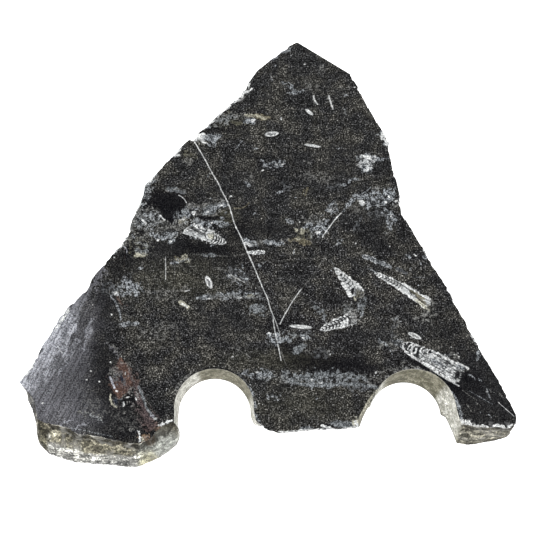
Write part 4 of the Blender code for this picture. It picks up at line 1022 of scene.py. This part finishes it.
# What is drawn over the shells: chambers, siphuncles, broken ends.
shellSpots = (
    # the large one on the right
    "ink rough", (111, -89.4, 3.6, 1.5, 62, 0.95), (118.4, -96.6, 3.4, 1.3, 80, 0.9),
    (121.6, -90.6, 3, 1.3, -28, 0.95), (128, -93.6, 2, 1.1, -30, 0.9),
    (135, -97, 2.6, 1, -30, 0.85), "coal rough", (113.6, -94.6, 1.4, 2.4, -20, 0.8),
    "steel rough", (134, -102.5, 8, 1.4, -28, 0.8), "slate rough", (134, -105, 8, 0.7, -30, 0.6),
    "ink rough", (141.4, -102.4, 3.2, 1.3, -38, 0.9), "chalk torn", (129, -98, 4, 1.6, -30, 0.6),
    "chalk rough", (128, -105.5, 6, 1.4, -34, 0.7), "ash rough", (152, -106.4, 7, 2.2, -28, 0.6),
    "ink fine", (148.6, -113.6, 2, 4.8, -8, 0.95), "ink rough", (155, -113.6, 5.4, 4.4, -20, 0.95),
    "ink cloud", (160, -118, 9, 6, -30, 0.85), "chalk rough", (148.6, -116.6, 1.2, 1.6, 0, 0.6),
    (157, -106.6, 1.5, 0.7, -30, 0.8), "chalk torn", (129, -108, 2.4, 1, -30, 0.7),
    "slate rough", (124, -97.4, 3.6, 1, -28, 0.6),
    # the long one above it
    "coal fine", (96, -32.6, 0.6, 2, -28, 0.9), "ash rough", (104, -37, 7, 1.2, -33, 0.5),
    "tan rough", (122, -49.5, 9.5, 2, -44, 0.9), "olive rough", (116, -44.6, 3.4, 1.4, -40, 0.9),
    "coal fine", (122, -51, 6.6, 0.5, -42, 0.8), "chalk fine", (126, -51.6, 3.4, 0.45, -28, 0.8),
    "chalk rough", (117.6, -42.4, 1.8, 0.9, -30, 0.8), "ink fine", (114.6, -45, 0.6, 2.4, 25, 0.8),
    "cream rough", (123, -54.4, 8, 1.3, -40, 0.8), "ash torn", (130, -55.5, 2.4, 5, -10, 0.6),
    # the short one with the forked end
    "ink fine", (59.4, -29.4, 0.7, 1.8, 30, 0.9), (62.6, -33.4, 0.6, 2, 30, 0.85),
    (65.4, -37.6, 0.6, 1.8, 30, 0.8), (68.4, -43.4, 1.3, 4.2, -16, 0.98),
    "ash rough", (73.8, -45, 4.2, 3.2, -40, 0.9), "olive torn", (73.6, -45.4, 2.4, 1.6, -40, 0.7),
    "cream rough", (70, -49.6, 1, 2.6, 20, 0.8), "chalk rough", (58, -27, 2.2, 1, -50, 0.8),
    "steel fine", (51.6, -26, 0.7, 0.6, 0, 0.9), (53.5, -24, 0.8, 0.6, 0, 0.9),
    # the one that points left
    "ash rough", (68.6, -65, 3.6, 6.4, -18, 0.75), "ash torn", (66, -58.6, 4.4, 3, 0, 0.6),
    "ink rough", (71.5, -72.6, 3.2, 1, 10, 0.6), "chalk rough", (60.6, -70.6, 1.6, 2.2, 10, 0.7),
    "ink rough", (53, -71.6, 4.8, 0.8, 18, 0.85), "chalk rough", (63.6, -68.6, 1.4, 2.4, 0, 0.7),
    "ink rough", (60, -67.6, 4, 0.7, 35, 0.85), (65.4, -69.6, 0.6, 2.4, -20, 0.8),
    # the ribbed one on the left
    "cream rough", (-45, 3.6, 2.4, 3.2, -20, 0.8), "slate torn", (-56, 5.4, 5, 1.2, -10, 0.6),
    "steel torn", (-59.5, 4.4, 6, 1.4, -10, 0.6), "coal fine", (-49.6, 3.6, 0.6, 2.6, 30, 0.8),
)
shellStrokes = (
    "coal rough", (0.6, 0.85, (-60.4, 10.8), (-56, 8.4), (-51.4, 6.4), (-49, 5.4)),
    (0.4, 0.8, (-63.4, 9.6), (-60.6, 8.4), (-57.4, 8)),
    "slate rough", (0.4, 0.8, (-55, 11.4), (-51.6, 8.6), (-48.6, 7.4)),
    "chalk fine", (0.9, 0.95, (148, -102), (153, -104.8), (158, -107.6)),
    "steel rough", (1.5, 0.85, (148, -104.8), (152, -106.4), (155, -107.6)),
    "slate rough", (1.5, 0.85, (100, -86), (104, -87.2), (107.5, -88.6)),
    "steel rough", (0.6, 0.8, (98.5, -84.4), (103, -84.6), (107, -85.2)),
    (0.5, 0.8, (101, -87.6), (104, -89), (107, -91)),
    (0.9, 0.9, (129, -110), (130.4, -112.6), (133, -116)),
    "chalk rough", (0.6, 0.85, (126.4, -109), (128, -108.6), (130, -107.2)),
    "cream rough",
    (1, 0.8, (71.2, -147.4), (74.2, -142.4), (77.7, -135.4), (81.2, -130.3), (85.2, -125.2),
         (89.3, -120.7), (94.4, -116.1), (99.6, -113)),
    "ink fine",
    (0.4, 0.8, (70.2, -146.6), (73.2, -141.6), (76.7, -134.6), (80.3, -129.4), (84.3, -124.3),
         (88.5, -119.7), (93.7, -115)), "steel fine",
    (0.35, 0.85, (171, -123.4), (172.4, -129), (174, -133)),
    "ash fine", (0.3, 0.8, (152, -124.6), (157, -128.6), (163, -133)),
    "ash rough", (0.4, 0.85, (160, -132.6), (163, -135), (166, -138)),
    "steel rough", (0.4, 0.8, (157, -112), (161, -114), (162.6, -117)),
    "ash rough", (0.4, 0.85, (154, -136), (157, -139), (158, -142)),
    "steel rough", (0.4, 0.8, (171, -143.6), (174, -147)),
    "ash rough", (0.45, 0.8, (180, -126), (183, -130)),
    "chalk fine", (0.5, 0.95, (107.8, -87), (107, -89.6), (110, -94)),
    (0.45, 0.9, (115, -87), (112, -89), (110.5, -92)),
    (0.8, 0.95, (119, -87.5), (115, -89.5), (113.5, -93), (114, -96), (116, -98.5)),
    (0.4, 0.9, (124, -89.5), (121.4, -91), (120.6, -93.6)),
    (0.4, 0.9, (129, -91.5), (126.5, -93), (126, -95)),
    (0.5, 0.9, (108, -93.5), (118, -100.5), (128, -107.5), (138, -114.5), (150, -121.5)),
    "ink rough", ((1, 2, 2.2, 1.6), 0.9, (110, -97.5), (124, -107.5), (138, -117.5), (152, -125)),
    "chalk fine", (0.5, 0.9, (96, -35.3), (104, -40.8), (111, -45.6), (116, -49)),
    "ash rough", (0.8, 0.7, (130, -50.5), (132, -55), (131, -60)),
    "chalk fine", (0.9, 0.85, (62, -36.6), (64.4, -42), (67.6, -48)),
    (0.8, 0.8, (70, -38), (74, -40), (77.6, -43.4)),
    "steel fine", (0.3, 0.7, (51.5, -17), (53, -20), (55, -22)),
    "chalk fine", (0.4, 0.85, (-67.5, 5.8), (-65.6, 9), (-63, 11.5)),
    "ink rough", (0.6, 0.9, (-62, 10.4), (-57, 8.4), (-52, 5.4), (-49, 7.6), (-46.6, 10.6)),
    (0.5, 0.8, (-60, 13), (-57, 10), (-53, 9.4)), "steel fine",
    (0.5, 0.9, (-9.6, -0.6), (-8, -3.4), (-7, -6.6)),
    "ink rough", (1, 0.8, (-18, -7.6), (-12, -6.8), (-4, -6.6)),
    "chalk fine", (0.5, 0.85, (78.5, -12.6), (81, -13.4)),
    "steel fine", (0.6, 0.8, (81, -24), (83, -25), (85.5, -26.4), (88, -28)),
)


# How far each way of drawing pushes the coordinates about, by the coarse noise and by the fine one.
wayPushes = {"Straight": (0.3, 0.3), "Ruffled": (1.0, 1.8), "Bent": (9.0, 2.6)}
pushNoises = ((7.0, 2.0), (1.9, 1.0))   # size and detail

# Four numbers for a fade are what it runs from and to, and its strength at either end.
matrixLook = {
    "base": -4.0,           # natural logarithm of the middle brightness
    # each noise: size, detail and roughness, and how much it moves the logarithm
    "noises": {"speck": (1.15, 1.0, 0.6), "grit": (0.75, 1.0, 0.5), "mottle": (3.4, 3.0, 0.65),
               "cloud": (19.0, 3.0, 0.6)},
    "weights": {"speck": 7.6, "grit": 4.2, "mottle": 3.2, "cloud": 2.6, "bedding": 1.6},
    "bedding": (2.0, 26.0, 4.2),                # turn, and size along and across
    "tints": ((0.99, 1.0, 1.03), (1.04, 1.01, 0.92)),
    "tintFade": (0.38, 0.62),
    "toneMix": (0.4, 0.6),  # of mottle and speck, between a tone's two shades
    "toneFade": (0.42, 0.66),
    "sheenStreaks": (66.0, 24.0, 1.9),              # turn, and size along and across, of the streaks in the painted sheen
    "sheenStreakMix": (0.5, 0.5),                  # of streaks and speck
    "sheenStreakFade": (0.38, 0.62),
    # slivers of shell: turn, length and width of a cell, share of the cells
    "flecks": ((-8.0, 8.0, 3.4, 0.34), (58.0, 8.0, 3.2, 0.18), (0.0, 4.0, 4.0, 0.12)),
    "fleckFade": (0.16, 0.06, 0.0, 0.95),
    "roughness": (0.3, 0.7, 0.14, 0.24),
}

bandForm = {
    "room": 9,              # half widths of room that a band's coordinate keeps on either side
    "extra": 3,             # and mm beyond that
    "bluntShare": 0.12,     # an end draws to a point within this share of the length
    "bluntWidths": 0.8,     # and within this many half widths
    "point": 1e-4,          # width of the point
    "core": 0.2,            # half widths that stay full however soft the edge is
}

coneForm = {
    "edge": (1.1, 0.9),
    "streakFade": (0.49, 0.58),
    "bow": 0.9,             # how far a septum bows, in spacings
    "waver": 0.7,           # how far noise shifts it
    "septumSoft": 0.07,
    "stretchSoft": 0.05,    # over this share of the length a stretch of septa begins and ends
    "septumEnds": (1.0, 0.8),
    "rim": (0.74, 0.90),
}

bruiseLook = {"noise": (2.2, 2.0, 0.6, "3D"), "breakUp": (4.4, -1.4), "fade": (0.25, 0.60)}


def bentCoordinates(s, ground):
    # copies of the millimetres pushed about by a coarse and a fine noise, by each way's two amounts
    noises = [s.noise(ground, *noise, part=1) for noise in pushNoises]
    ways = {}
    for way, pushes in wayPushes.items():
        pushed = ground
        for noise, push in zip(noises, pushes):
            pushed = s.vector("MULTIPLY_ADD", noise, (push, push, 0.0), pushed)
        back = -sum(pushes) / 2
        ways[way] = s.add("Mapping", {"Vector": pushed, "Location": (back, back, 0.0)}).outputs[0]
    return ways


def inRuns(table):
    # each mark of a table with the tone and the edge that were named last before it
    for item in table:
        if isinstance(item, str):
            tone, edge = item.split()
        else:
            yield tone, edge, item


def drawSpot(s, colour, given, tone, edge, mark):
    # an ellipse: one less the distance from its middle, torn by noise, softened into a mask
    x, y, longHalf, wideHalf, turn, strength = mark
    soft, tear, way = markEdges[edge]
    u = s.along(given[way], x, y, turn, 2 * longHalf)
    v = s.along(given[way], x, y, turn + 90, 2 * wideHalf)
    distance = s.math("SQRT", s.math("MULTIPLY_ADD", v, v, s.math("MULTIPLY", u, u)))
    nearness = s.math("SUBTRACT", 1.0, distance)
    if tear:
        nearness = s.math("MULTIPLY", nearness, given[edge])
    mask = s.remap(nearness, (1 - soft) / 2, (1 + soft) / 2, 0.0, strength)
    return s.blend(mask, colour, given[tone])


def bandCoordinates(s, given, way, middles, halves):
    # share of the way along a band, and the distance from its middle line in half widths
    middles, halves = np.array(middles, float), np.array(halves, float)
    start, span = middles[0], middles[-1] - middles[0]
    length = np.linalg.norm(span)
    along = span / length
    across = np.array([-along[1], along[0]])
    shares = (middles - start) @ along / length
    offsets = (middles - start) @ across
    reach = (np.abs(offsets) + bandForm["room"] * halves).max() + bandForm["extra"]
    turn = math.degrees(math.atan2(along[1], along[0]))
    u = s.add("Clamp", {"Value": s.along(given[way], *start, turn, length)}).outputs[0]
    v = s.along(given[way], *(start - reach * across), turn + 90, 2 * reach)
    middle = s.curve(u, list(zip(shares, 0.5 + offsets / (2 * reach))), "AUTO")
    first, last = (min(bandForm["bluntShare"], bandForm["bluntWidths"] * halves[end] / length)
                   for end in (0, -1))
    widths = zip(np.clip(shares, first, 1 - last), halves / (2 * reach))
    width = s.curve(u, [(0.0, bandForm["point"]), *widths, (1.0, bandForm["point"])])
    return u, s.math("DIVIDE", s.math("SUBTRACT", v, middle), width)


def drawStroke(s, colour, given, tone, edge, stroke):
    # a band whose mask falls off at one half width from its middle line
    half, strength, *points = stroke
    soft, tear, way = markEdges[edge]
    halves = half if isinstance(half, tuple) else (half,) * len(points)
    distance = s.math("ABSOLUTE", bandCoordinates(s, given, way, points, halves)[1])
    if tear:
        distance = s.math("DIVIDE", distance, given[edge])
    mask = s.remap(distance, 1 + 2 * soft, max(1 - 2 * soft, bandForm["core"]), 0.0, strength)
    return s.blend(mask, colour, given[tone])


def drawCone(s, colour, given, tone, edge, cone):
    # a band between two edges, crossed by septa that bow towards the tip, streaked, pale at its edges
    way = markEdges[edge][2]
    upper, lower = np.array(cone["upper"], float), np.array(cone["lower"], float)
    shares = np.linspace(0, 1, max(len(upper), len(lower)))
    upper, lower = pointsAlong(upper, shares), pointsAlong(lower, shares)
    halves = np.linalg.norm(upper - lower, axis=1) / 2
    u, n = bandCoordinates(s, given, way, (upper + lower) / 2, halves)
    distance = s.math("ABSOLUTE", n)
    mask = s.remap(s.math("DIVIDE", distance, given[edge]), *coneForm["edge"])
    span = (upper[-1] + lower[-1] - upper[0] - lower[0]) / 2
    turn = math.degrees(math.atan2(span[1], span[0]))
    inside = given[tone]
    for long, wide, share, tone in cone["streaks"]:
        streaks = s.streaks(given[way], *upper[0], turn, long, wide, 2.0)
        inside = s.blend(s.remap(streaks, *coneForm["streakFade"], 0.0, share), inside, given[tone])
    bow = s.math("MULTIPLY_ADD", s.math("MULTIPLY", n, n), coneForm["bow"],
                 s.math("MULTIPLY", given["Ragged"], coneForm["waver"]))
    soft, fade = coneForm["septumSoft"], coneForm["stretchSoft"]
    for spacing, gap, share, tone, first, last in cone["septa"]:
        step = s.math("MULTIPLY_ADD", u, float(np.linalg.norm(span)) / spacing, bow)
        stripe = s.remap(s.math("PINGPONG", step, 0.5), gap / 2 - soft, gap / 2 + soft, share, 0.0)
        stretch = s.math("MULTIPLY", s.remap(u, first, first + fade), s.remap(u, last, last - fade))
        within = s.math("MULTIPLY", stretch, s.remap(distance, *coneForm["septumEnds"]))
        inside = s.blend(s.math("MULTIPLY", stripe, within), inside, given[tone])
    rim = s.remap(distance, *coneForm["rim"], 0.0, cone["rim"])
    return s.blend(mask, colour, s.blend(rim, inside, given["chalk"]))


markKinds = {"spots": drawSpot, "strokes": drawStroke, "cones": drawCone}
socketKinds = {**{way: "Vector" for way in wayPushes}, "Ragged": "Float",
               **{edge: "Float" for edge in markEdges}}

# What is drawn on the matrix, the lowest first: name, kind and marks.
markLayers = (
    ("patches", "spots", stonePatches), ("sheen", "spots", sheenSpots),
    ("sheenLines", "strokes", sheenStrokes), ("rustForm", "strokes", rustForm),
    ("rust", "spots", rustSpots), ("rustLines", "strokes", rustStrokes),
    ("shells", "cones", stoneCones), ("shellParts", "spots", shellSpots),
    ("shellLines", "strokes", shellStrokes), ("veins", "strokes", stoneStrokes),
    ("dots", "spots", stoneDots),
)


def markGroup(name, kind, marks, shared):
    # a node group that draws a list of marks of one kind over the colour that comes in
    tree = bpy.data.node_groups.new(name, "ShaderNodeTree")
    for title in ("Colour", *shared):
        kindOfSocket = "Color" if title == "Colour" or title in stoneTones else socketKinds[title]
        tree.interface.new_socket(title, in_out="INPUT", socket_type="NodeSocket" + kindOfSocket)
    tree.interface.new_socket("Colour", in_out="OUTPUT", socket_type="NodeSocketColor")
    s = Shading(tree)
    given = tree.nodes.new("NodeGroupInput").outputs
    colour = given["Colour"]
    for mark in marks:
        colour = markKinds[kind](s, colour, given, *mark)
    s.give(tree.nodes.new("NodeGroupOutput").inputs[0], colour)
    return tree


def drawMarks(s, colour, shared, name, kind, table, most=30):
    # the whole table, in groups of a size that stays quick to build
    marks = list(inRuns(table))
    for first in range(0, len(marks), most):
        tree = markGroup(f"{name}_{first}", kind, marks[first:first + most], shared)
        group = s.add("Group", {"Colour": colour, **shared}, node_tree=tree)
        colour = group.outputs[0]
    return colour


def flecks(s, mm, turn, long, wide, share):
    # slivers of shell: one in each cell of a stretched Voronoi pattern, shown where its colour says
    cell = s.local(mm, 0.0, 0.0, turn, long, wide)
    cells = s.add("TexVoronoi", {"Vector": cell, "Scale": 1.0}, voronoi_dimensions="2D")
    near = s.remap(cells.outputs["Distance"], *matrixLook["fleckFade"])
    chance = s.add("SeparateColor", {0: cells.outputs["Color"]}).outputs[0]
    return s.math("MULTIPLY", near, s.remap(chance, 1 - share, 1.0))


def crushedShare(s, mm):
    # how far the rim is bruised here, from the mesh, broken up by noise
    breakUp = s.math("MULTIPLY_ADD", s.noise(mm, *bruiseLook["noise"]), *bruiseLook["breakUp"])
    return s.remap(s.math("MULTIPLY", s.attribute("crushed"), breakUp), *bruiseLook["fade"])


def weighed(s, power, patterns, weights):
    # a power moved by each noise about its middle, times the noise's weight
    for name, pattern in patterns.items():
        moved = s.math("MULTIPLY_ADD", pattern, weights[name], -weights[name] / 2)
        power = s.math("ADD", power, moved)
    return power


def mixed(s, first, second, shares):
    return s.math("MULTIPLY_ADD", first, shares[0], s.math("MULTIPLY", second, shares[1]))


def paintPolished(s, mm):
    # the matrix, whose brightness is a base times e to the weighted sum of noises; then the flecks,
    # the marks and the bruised rim
    look = matrixLook
    noises = {name: s.noise(mm, *noise) for name, noise in look["noises"].items()}
    noises["bedding"] = s.streaks(mm, 0.0, 0.0, *look["bedding"])
    speck, mottle = noises["speck"], noises["mottle"]
    tint = s.blend(s.remap(noises["cloud"], *look["tintFade"]), *look["tints"])
    colour = s.brighten(tint, weighed(s, look["base"], noises, look["weights"]))
    shade = s.remap(mixed(s, mottle, speck, look["toneMix"]), *look["toneFade"])
    ragged = s.math("SUBTRACT", mottle, 0.5)
    ground = s.vector("MULTIPLY_ADD", mm, (1.0, 1.0, 0.0), (0.0, 0.0, 1.0))
    shared = {**bentCoordinates(s, ground), "Ragged": ragged,
              **{tone: s.blend(shade, *pair) for tone, pair in stoneTones.items()}}
    for edge, (_, tear, _) in markEdges.items():
        if tear:
            shared[edge] = s.math("MAXIMUM", s.math("MULTIPLY_ADD", ragged, tear, 1.0), 0.1)
    # the streaks of the painted sheen where the face dips, which shade its tones veil and mist
    sheenStreaks = mixed(s, s.streaks(mm, 0.0, 0.0, *look["sheenStreaks"]), speck, look["sheenStreakMix"])
    sheenStreaks = s.remap(sheenStreaks, *look["sheenStreakFade"])
    for tone in ("veil", "mist"):
        shared[tone] = s.blend(sheenStreaks, *stoneTones[tone])
    for fleck in look["flecks"]:
        colour = s.blend(flecks(s, mm, *fleck), colour, shared["ash"])
    for layer in markLayers:
        colour = drawMarks(s, colour, shared, *layer)
    colour = s.blend(crushedShare(s, mm), colour, shared["chalk"])
    return colour, s.remap(mottle, *look["roughness"]), mottle


splitLook = {
    # the tone at the foot, then each that takes over between two heights
    "foot": (0.17, 0.17, 0.162),
    "heights": (((0.34, 0.338, 0.315), 2.0, 4.0), ((0.125, 0.117, 0.088), 9.5, 12.0)),
    # places with a tone of their own: x, y, half widths, turn
    "places": (
        ((0.165, 0.158, 0.138), 0, 90, 290, 290, 0), ((0.235, 0.242, 0.222), -80, -172, 26, 24, 0),
        ((0.30, 0.29, 0.21), -91, -180, 12, 14, 0), ((0.110, 0.105, 0.085), 168, -158, 40, 14, 0),
        ((0.075, 0.070, 0.050), -176, -160, 9, 14, 0), ((0.050, 0.050, 0.052), -184, -134, 8, 22, 0),
        ((0.42, 0.40, 0.31), -164, -156, 6, 3, 0), ((0.130, 0.095, 0.068), -90, -162, 6, 6, 40),
        ((0.45, 0.45, 0.42), 20, -156, 45, 12, 0),
    ),
    "placeFade": (0.05, 0.5),
    "wander": 7.0,          # how unevenly the heights run
    "fine": (1.5, 3.0, 0.7, "3D"),
    "coarse": (6.0, 3.0, 0.6, "3D"),
    "layers": ((0.07, 0.07, 0.5), 3.0),
    "weights": {"fine": 5.0, "coarse": 3.8, "layers": 5.5},
    # where the layers are quieter: x, y, half widths, turn
    "calm": (-78, -170, 24, 26, 0),
    "calmFade": (0.05, 0.5, 1.0, 0.45),
    "dark": (0.02, 0.018, 0.014),
    "pale": (0.42, 0.415, 0.39),
    # by depth below the rim: painted shade in the recess under the rim, which comes and goes, and a
    # pale line above it
    "dropWander": 9.0,
    "recessShade": ((0.9, 1.8), (9.0, 5.0, 0.0, 0.8)),
    "rimLine": (1.1, 0.5, 0.0, 0.8),
    "crackAt": 0.47,        # the level of the coarse noise that cracks follow
    "crackFade": (0.022, 0.004, 0.0, 0.75),
    "crestFade": (0.75, 1.0, 0.0, 0.3),
    "bruiseFade": (21.0, 23.5, 0.0, 0.9),
    "bruise": ((0.16, 0.16, 0.155), (0.66, 0.66, 0.64)),
    "bruiseMix": (0.36, 0.6),
}


def heightOf(s, mm, wander):
    # height above the underside in mm, made uneven
    z = s.add("SeparateXYZ", {0: mm}).outputs[2]
    return s.math("MULTIPLY_ADD", s.math("SUBTRACT", s.noise(mm, 9.0, 3.0, 0.6, "3D"), 0.5), wander, z)


def paintSplit(s, mm):
    # tones by height and place, painted shade in a recess and a pale line under the rim, cracks; then
    # brightness times e to a weighted sum of noises, pale crests and the bruised rim
    look = splitLook
    height = heightOf(s, mm, look["wander"])
    noises = {name: s.noise(mm, *look[name]) for name in ("fine", "coarse")}
    colour = look["foot"]
    for tone, low, high in look["heights"]:
        colour = s.blend(s.remap(height, low, high), colour, tone)
    for tone, *place in look["places"]:
        colour = s.blend(s.remap(s.nearness(mm, *place), *look["placeFade"]), colour, tone)
    uneven = s.math("SUBTRACT", noises["coarse"], 0.5)
    drop = s.math("MULTIPLY_ADD", uneven, look["dropWander"], s.attribute("drop"))
    # painted shade in the recess under the rim
    recessShade = s.math("MULTIPLY", *(s.remap(drop, *fade) for fade in look["recessShade"]))
    crack = s.math("ABSOLUTE", s.math("SUBTRACT", noises["coarse"], look["crackAt"]))
    colour = s.blend(recessShade, colour, look["dark"])
    colour = s.blend(s.remap(crack, *look["crackFade"]), colour, look["dark"])
    colour = s.blend(s.remap(drop, *look["rimLine"]), colour, look["pale"])
    noises["layers"] = s.layers(mm, *look["layers"])
    calm = s.remap(s.nearness(mm, *look["calm"]), *look["calmFade"])
    colour = s.brighten(colour, s.math("MULTIPLY", weighed(s, 0.0, noises, look["weights"]), calm))
    colour = s.blend(s.remap(s.attribute("crest"), *look["crestFade"]), colour, look["pale"])
    crushed = s.math("MULTIPLY", crushedShare(s, mm), s.remap(height, *look["bruiseFade"]))
    bruise = s.blend(s.remap(noises["fine"], *look["bruiseMix"]), *look["bruise"])
    return s.blend(crushed, colour, bruise), 0.85, noises["fine"]


drilledLook = {
    # the khaki of the walls in shade, and the lit copy of the same khaki: painted shade and painted
    # light
    "ground": ((0.082, 0.077, 0.050), (0.190, 0.180, 0.135)),
    "litTone": ((0.26, 0.258, 0.225), (0.52, 0.515, 0.475)),
    "toneFade": (0.40, 0.60),
    # x, y, half widths and turn of the pale patches of painted light, on the sides that face the lamps
    "litSides": (
        (-73, -146, 9, 16, 10), (-68, -128, 10, 17, -20), (-59, -115, 11, 11, 0),
        (-11, -138, 5, 14, 12), (-8, -150, 7, 8, 0), (146, -140, 12, 24, 8),
        (140, -128, 9, 10, 30), (86, -123, 7, 14, -35),
    ),
    "litSideFade": (0.1, 0.6),
    "wander": 1.2,
    "mottle": (4.6, 3.0, 0.6, "3D"),
    "fine": (1.3, 2.0, 0.6, "3D"),
    "fineWeight": {"fine": 3.4},
    "rings": ((0.05, 0.05, 1.6), 2.0),
    # bands of a tone: dark rings, the pale rim and painted shade at the foot
    "ringDark": ((0.06, 0.058, 0.045), (0.35, 0.65, 0.3, 0.0)),
    "rimPale": ((0.50, 0.49, 0.45), (23.0, 24.4, 0.0, 0.2)),
    "footShade": ((0.04, 0.04, 0.035), (1.3, 0.3, 0.0, 0.6)),
}


def paintDrilled(s, mm):
    # khaki as the walls look in shade, with painted light where the sides face the lamps and painted
    # shade at the foot, with fine rings
    look = drilledLook
    height = heightOf(s, mm, look["wander"])
    shade = s.remap(s.noise(mm, *look["mottle"]), *look["toneFade"])
    rings = s.layers(mm, *look["rings"])
    colour, litTone = (s.blend(shade, *look[name]) for name in ("ground", "litTone"))
    # painted light on the sides of the notches that face the lamps
    for place in look["litSides"]:
        colour = s.blend(s.remap(s.nearness(mm, *place), *look["litSideFade"]), colour, litTone)
    fine = {"fine": s.noise(mm, *look["fine"])}
    colour = s.brighten(colour, weighed(s, 0.0, fine, look["fineWeight"]))
    # the dark rings, the pale rim, and painted shade at the foot
    for value, name in ((rings, "ringDark"), (height, "rimPale"), (height, "footShade")):
        tone, fade = look[name]
        colour = s.blend(s.remap(value, *fade), colour, tone)
    return colour, 0.7, rings


sawnLook = {
    "tones": ((0.055, 0.055, 0.053), (0.15, 0.15, 0.145)),
    "mottle": (3.0, 4.0, 0.6, "3D"),
    "toneFade": (0.3, 0.7),
    "marks": ((0.03, 1.1, 1.1), 2.0, 0.62),
    "markTone": (0.26, 0.26, 0.25),
    "markFade": (0.55, 0.7, 0.0, 0.35),
}


def paintSawn(s, mm):
    # dark grey with the saw's straight marks
    look = sawnLook
    marks = s.layers(mm, *look["marks"])
    colour = s.blend(s.remap(s.noise(mm, *look["mottle"]), *look["toneFade"]), *look["tones"])
    return s.blend(s.remap(marks, *look["markFade"]), colour, look["markTone"]), 0.6, marks


# The stone's finishes in the order of finishOrder: name, painter, specular level, and the height in
# mm and strength of the raised grain.
stoneFinishes = (
    ("polished_limestone", paintPolished, 0.2, 0.05, 0.2),
    ("split_limestone", paintSplit, 0.2, 0.9, 0.7),
    ("drilled_limestone", paintDrilled, 0.2, 0.25, 0.5),
    ("sawn_limestone", paintSawn, 0.5, 0.2, 0.4),
)


def stoneMaterial(name, paint, specular, raised, strength):
    # the colour, roughness and grain that the painter gives
    material, s = newMaterial(name)
    colour, roughness, height = paint(s, s.millimetres())
    bump = s.add("Bump", {"Height": height, "Distance": raised * metre, "Strength": strength})
    s.fill("Principled BSDF", {"Base Color": colour, "Roughness": roughness,
                               "Specular IOR Level": specular, "Normal": bump.outputs[0]})
    return material


def makeSlab():
    mesh, slots = slabMesh()
    slab = bpy.data.objects.new("orthoceras_slab", mesh)
    bpy.context.scene.collection.objects.link(slab)
    for finish in stoneFinishes:
        mesh.materials.append(stoneMaterial(*finish))
    mesh.polygons.foreach_set("material_index", slots.astype(np.int32))
    mesh.shade_smooth()
    mesh.set_sharp_from_angle(angle=math.radians(slabForm["sharpAngle"]))
    mesh.update()
    triangles = sum(len(face.vertices) - 2 for face in mesh.polygons)
    print("slab:", len(mesh.vertices), "points,", triangles, "triangles")
    return slab


studio = {
    "floorHalf": 4000.0,
    "floorColour": (0.80, 0.80, 0.80),
    "floorRoughness": 0.9,
    "floorGlow": 1.0,       # a light table, so that no shadow shows on it
    "skyColour": (0.80, 0.86, 0.95),
    "skyStrength": 0.08,
    # name: place, aim, width, height, watts, colour
    "lamps": {
        "west": ((-1500, 100, 1000), (0, 0, 0), 1400, 1400, 34.0, (1.0, 0.99, 0.97)),
        "east": ((1500, 0, 1000), (0, 0, 0), 1400, 1400, 26.0, (1.0, 0.99, 0.97)),
        "south": ((0, -1700, 900), (0, 0, 0), 1800, 900, 30.0, (1.0, 1.0, 1.0)),
        "north": ((0, 2000, 900), (0, 0, 0), 2200, 700, 26.0, (0.97, 0.98, 1.0)),
    },
}


def aimAt(place, target):
    # turns that point an object's -Z from its place to a target, keeping its X level
    dx, dy, dz = (t - p for t, p in zip(target, place))
    return (math.atan2(math.hypot(dx, dy), -dz), 0.0, math.atan2(-dx, dy))


def makeFloor():
    half = studio["floorHalf"] * metre
    corners = [(-half, -half, 0), (half, -half, 0), (half, half, 0), (-half, half, 0)]
    mesh = bpy.data.meshes.new("studio_floor")
    mesh.from_pydata(corners, [], [(0, 1, 2, 3)])
    floor = bpy.data.objects.new("studio_floor", mesh)
    bpy.context.scene.collection.objects.link(floor)
    material, s = newMaterial("pale_floor")
    s.fill("Principled BSDF", {"Base Color": asColour(studio["floorColour"]),
                               "Roughness": studio["floorRoughness"],
                               "Emission Color": (1.0, 1.0, 1.0, 1.0),
                               "Emission Strength": studio["floorGlow"]})
    mesh.materials.append(material)


def makeLamps():
    for name, (place, aim, width, height, watts, colour) in studio["lamps"].items():
        lamp = bpy.data.lights.new(name + "_softbox", "AREA")
        lamp.shape = "RECTANGLE"
        lamp.size, lamp.size_y = width * metre, height * metre
        lamp.energy = watts
        lamp.color = colour
        box = bpy.data.objects.new(lamp.name, lamp)
        box.location = [p * metre for p in place]
        box.rotation_euler = aimAt(place, aim)
        bpy.context.scene.collection.objects.link(box)
    world = bpy.data.worlds.new("studio_air")
    world.use_nodes = True
    Shading(world.node_tree).fill("Background", {"Color": asColour(studio["skyColour"]),
                                                 "Strength": studio["skyStrength"]})
    bpy.context.scene.world = world


cameraView = {"place": (0.0, -415.82, 1105.65), "tilt": 20.0, "lens": 97.09, "sensor": 36.0,
              "nearest": 10.0, "farthest": 30000.0}


def makeCamera():
    lens = bpy.data.cameras.new("studio_camera")
    lens.lens, lens.sensor_width = cameraView["lens"], cameraView["sensor"]
    lens.clip_start, lens.clip_end = cameraView["nearest"] * metre, cameraView["farthest"] * metre
    camera = bpy.data.objects.new("studio_camera", lens)
    camera.location = [p * metre for p in cameraView["place"]]
    camera.rotation_euler = (math.radians(cameraView["tilt"]), 0.0, 0.0)
    bpy.context.scene.collection.objects.link(camera)
    bpy.context.scene.camera = camera


makeCamera()
makeFloor()
makeLamps()
print("studio ready")
slab = makeSlab()
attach(slab, "root")
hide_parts("fossil_slab")
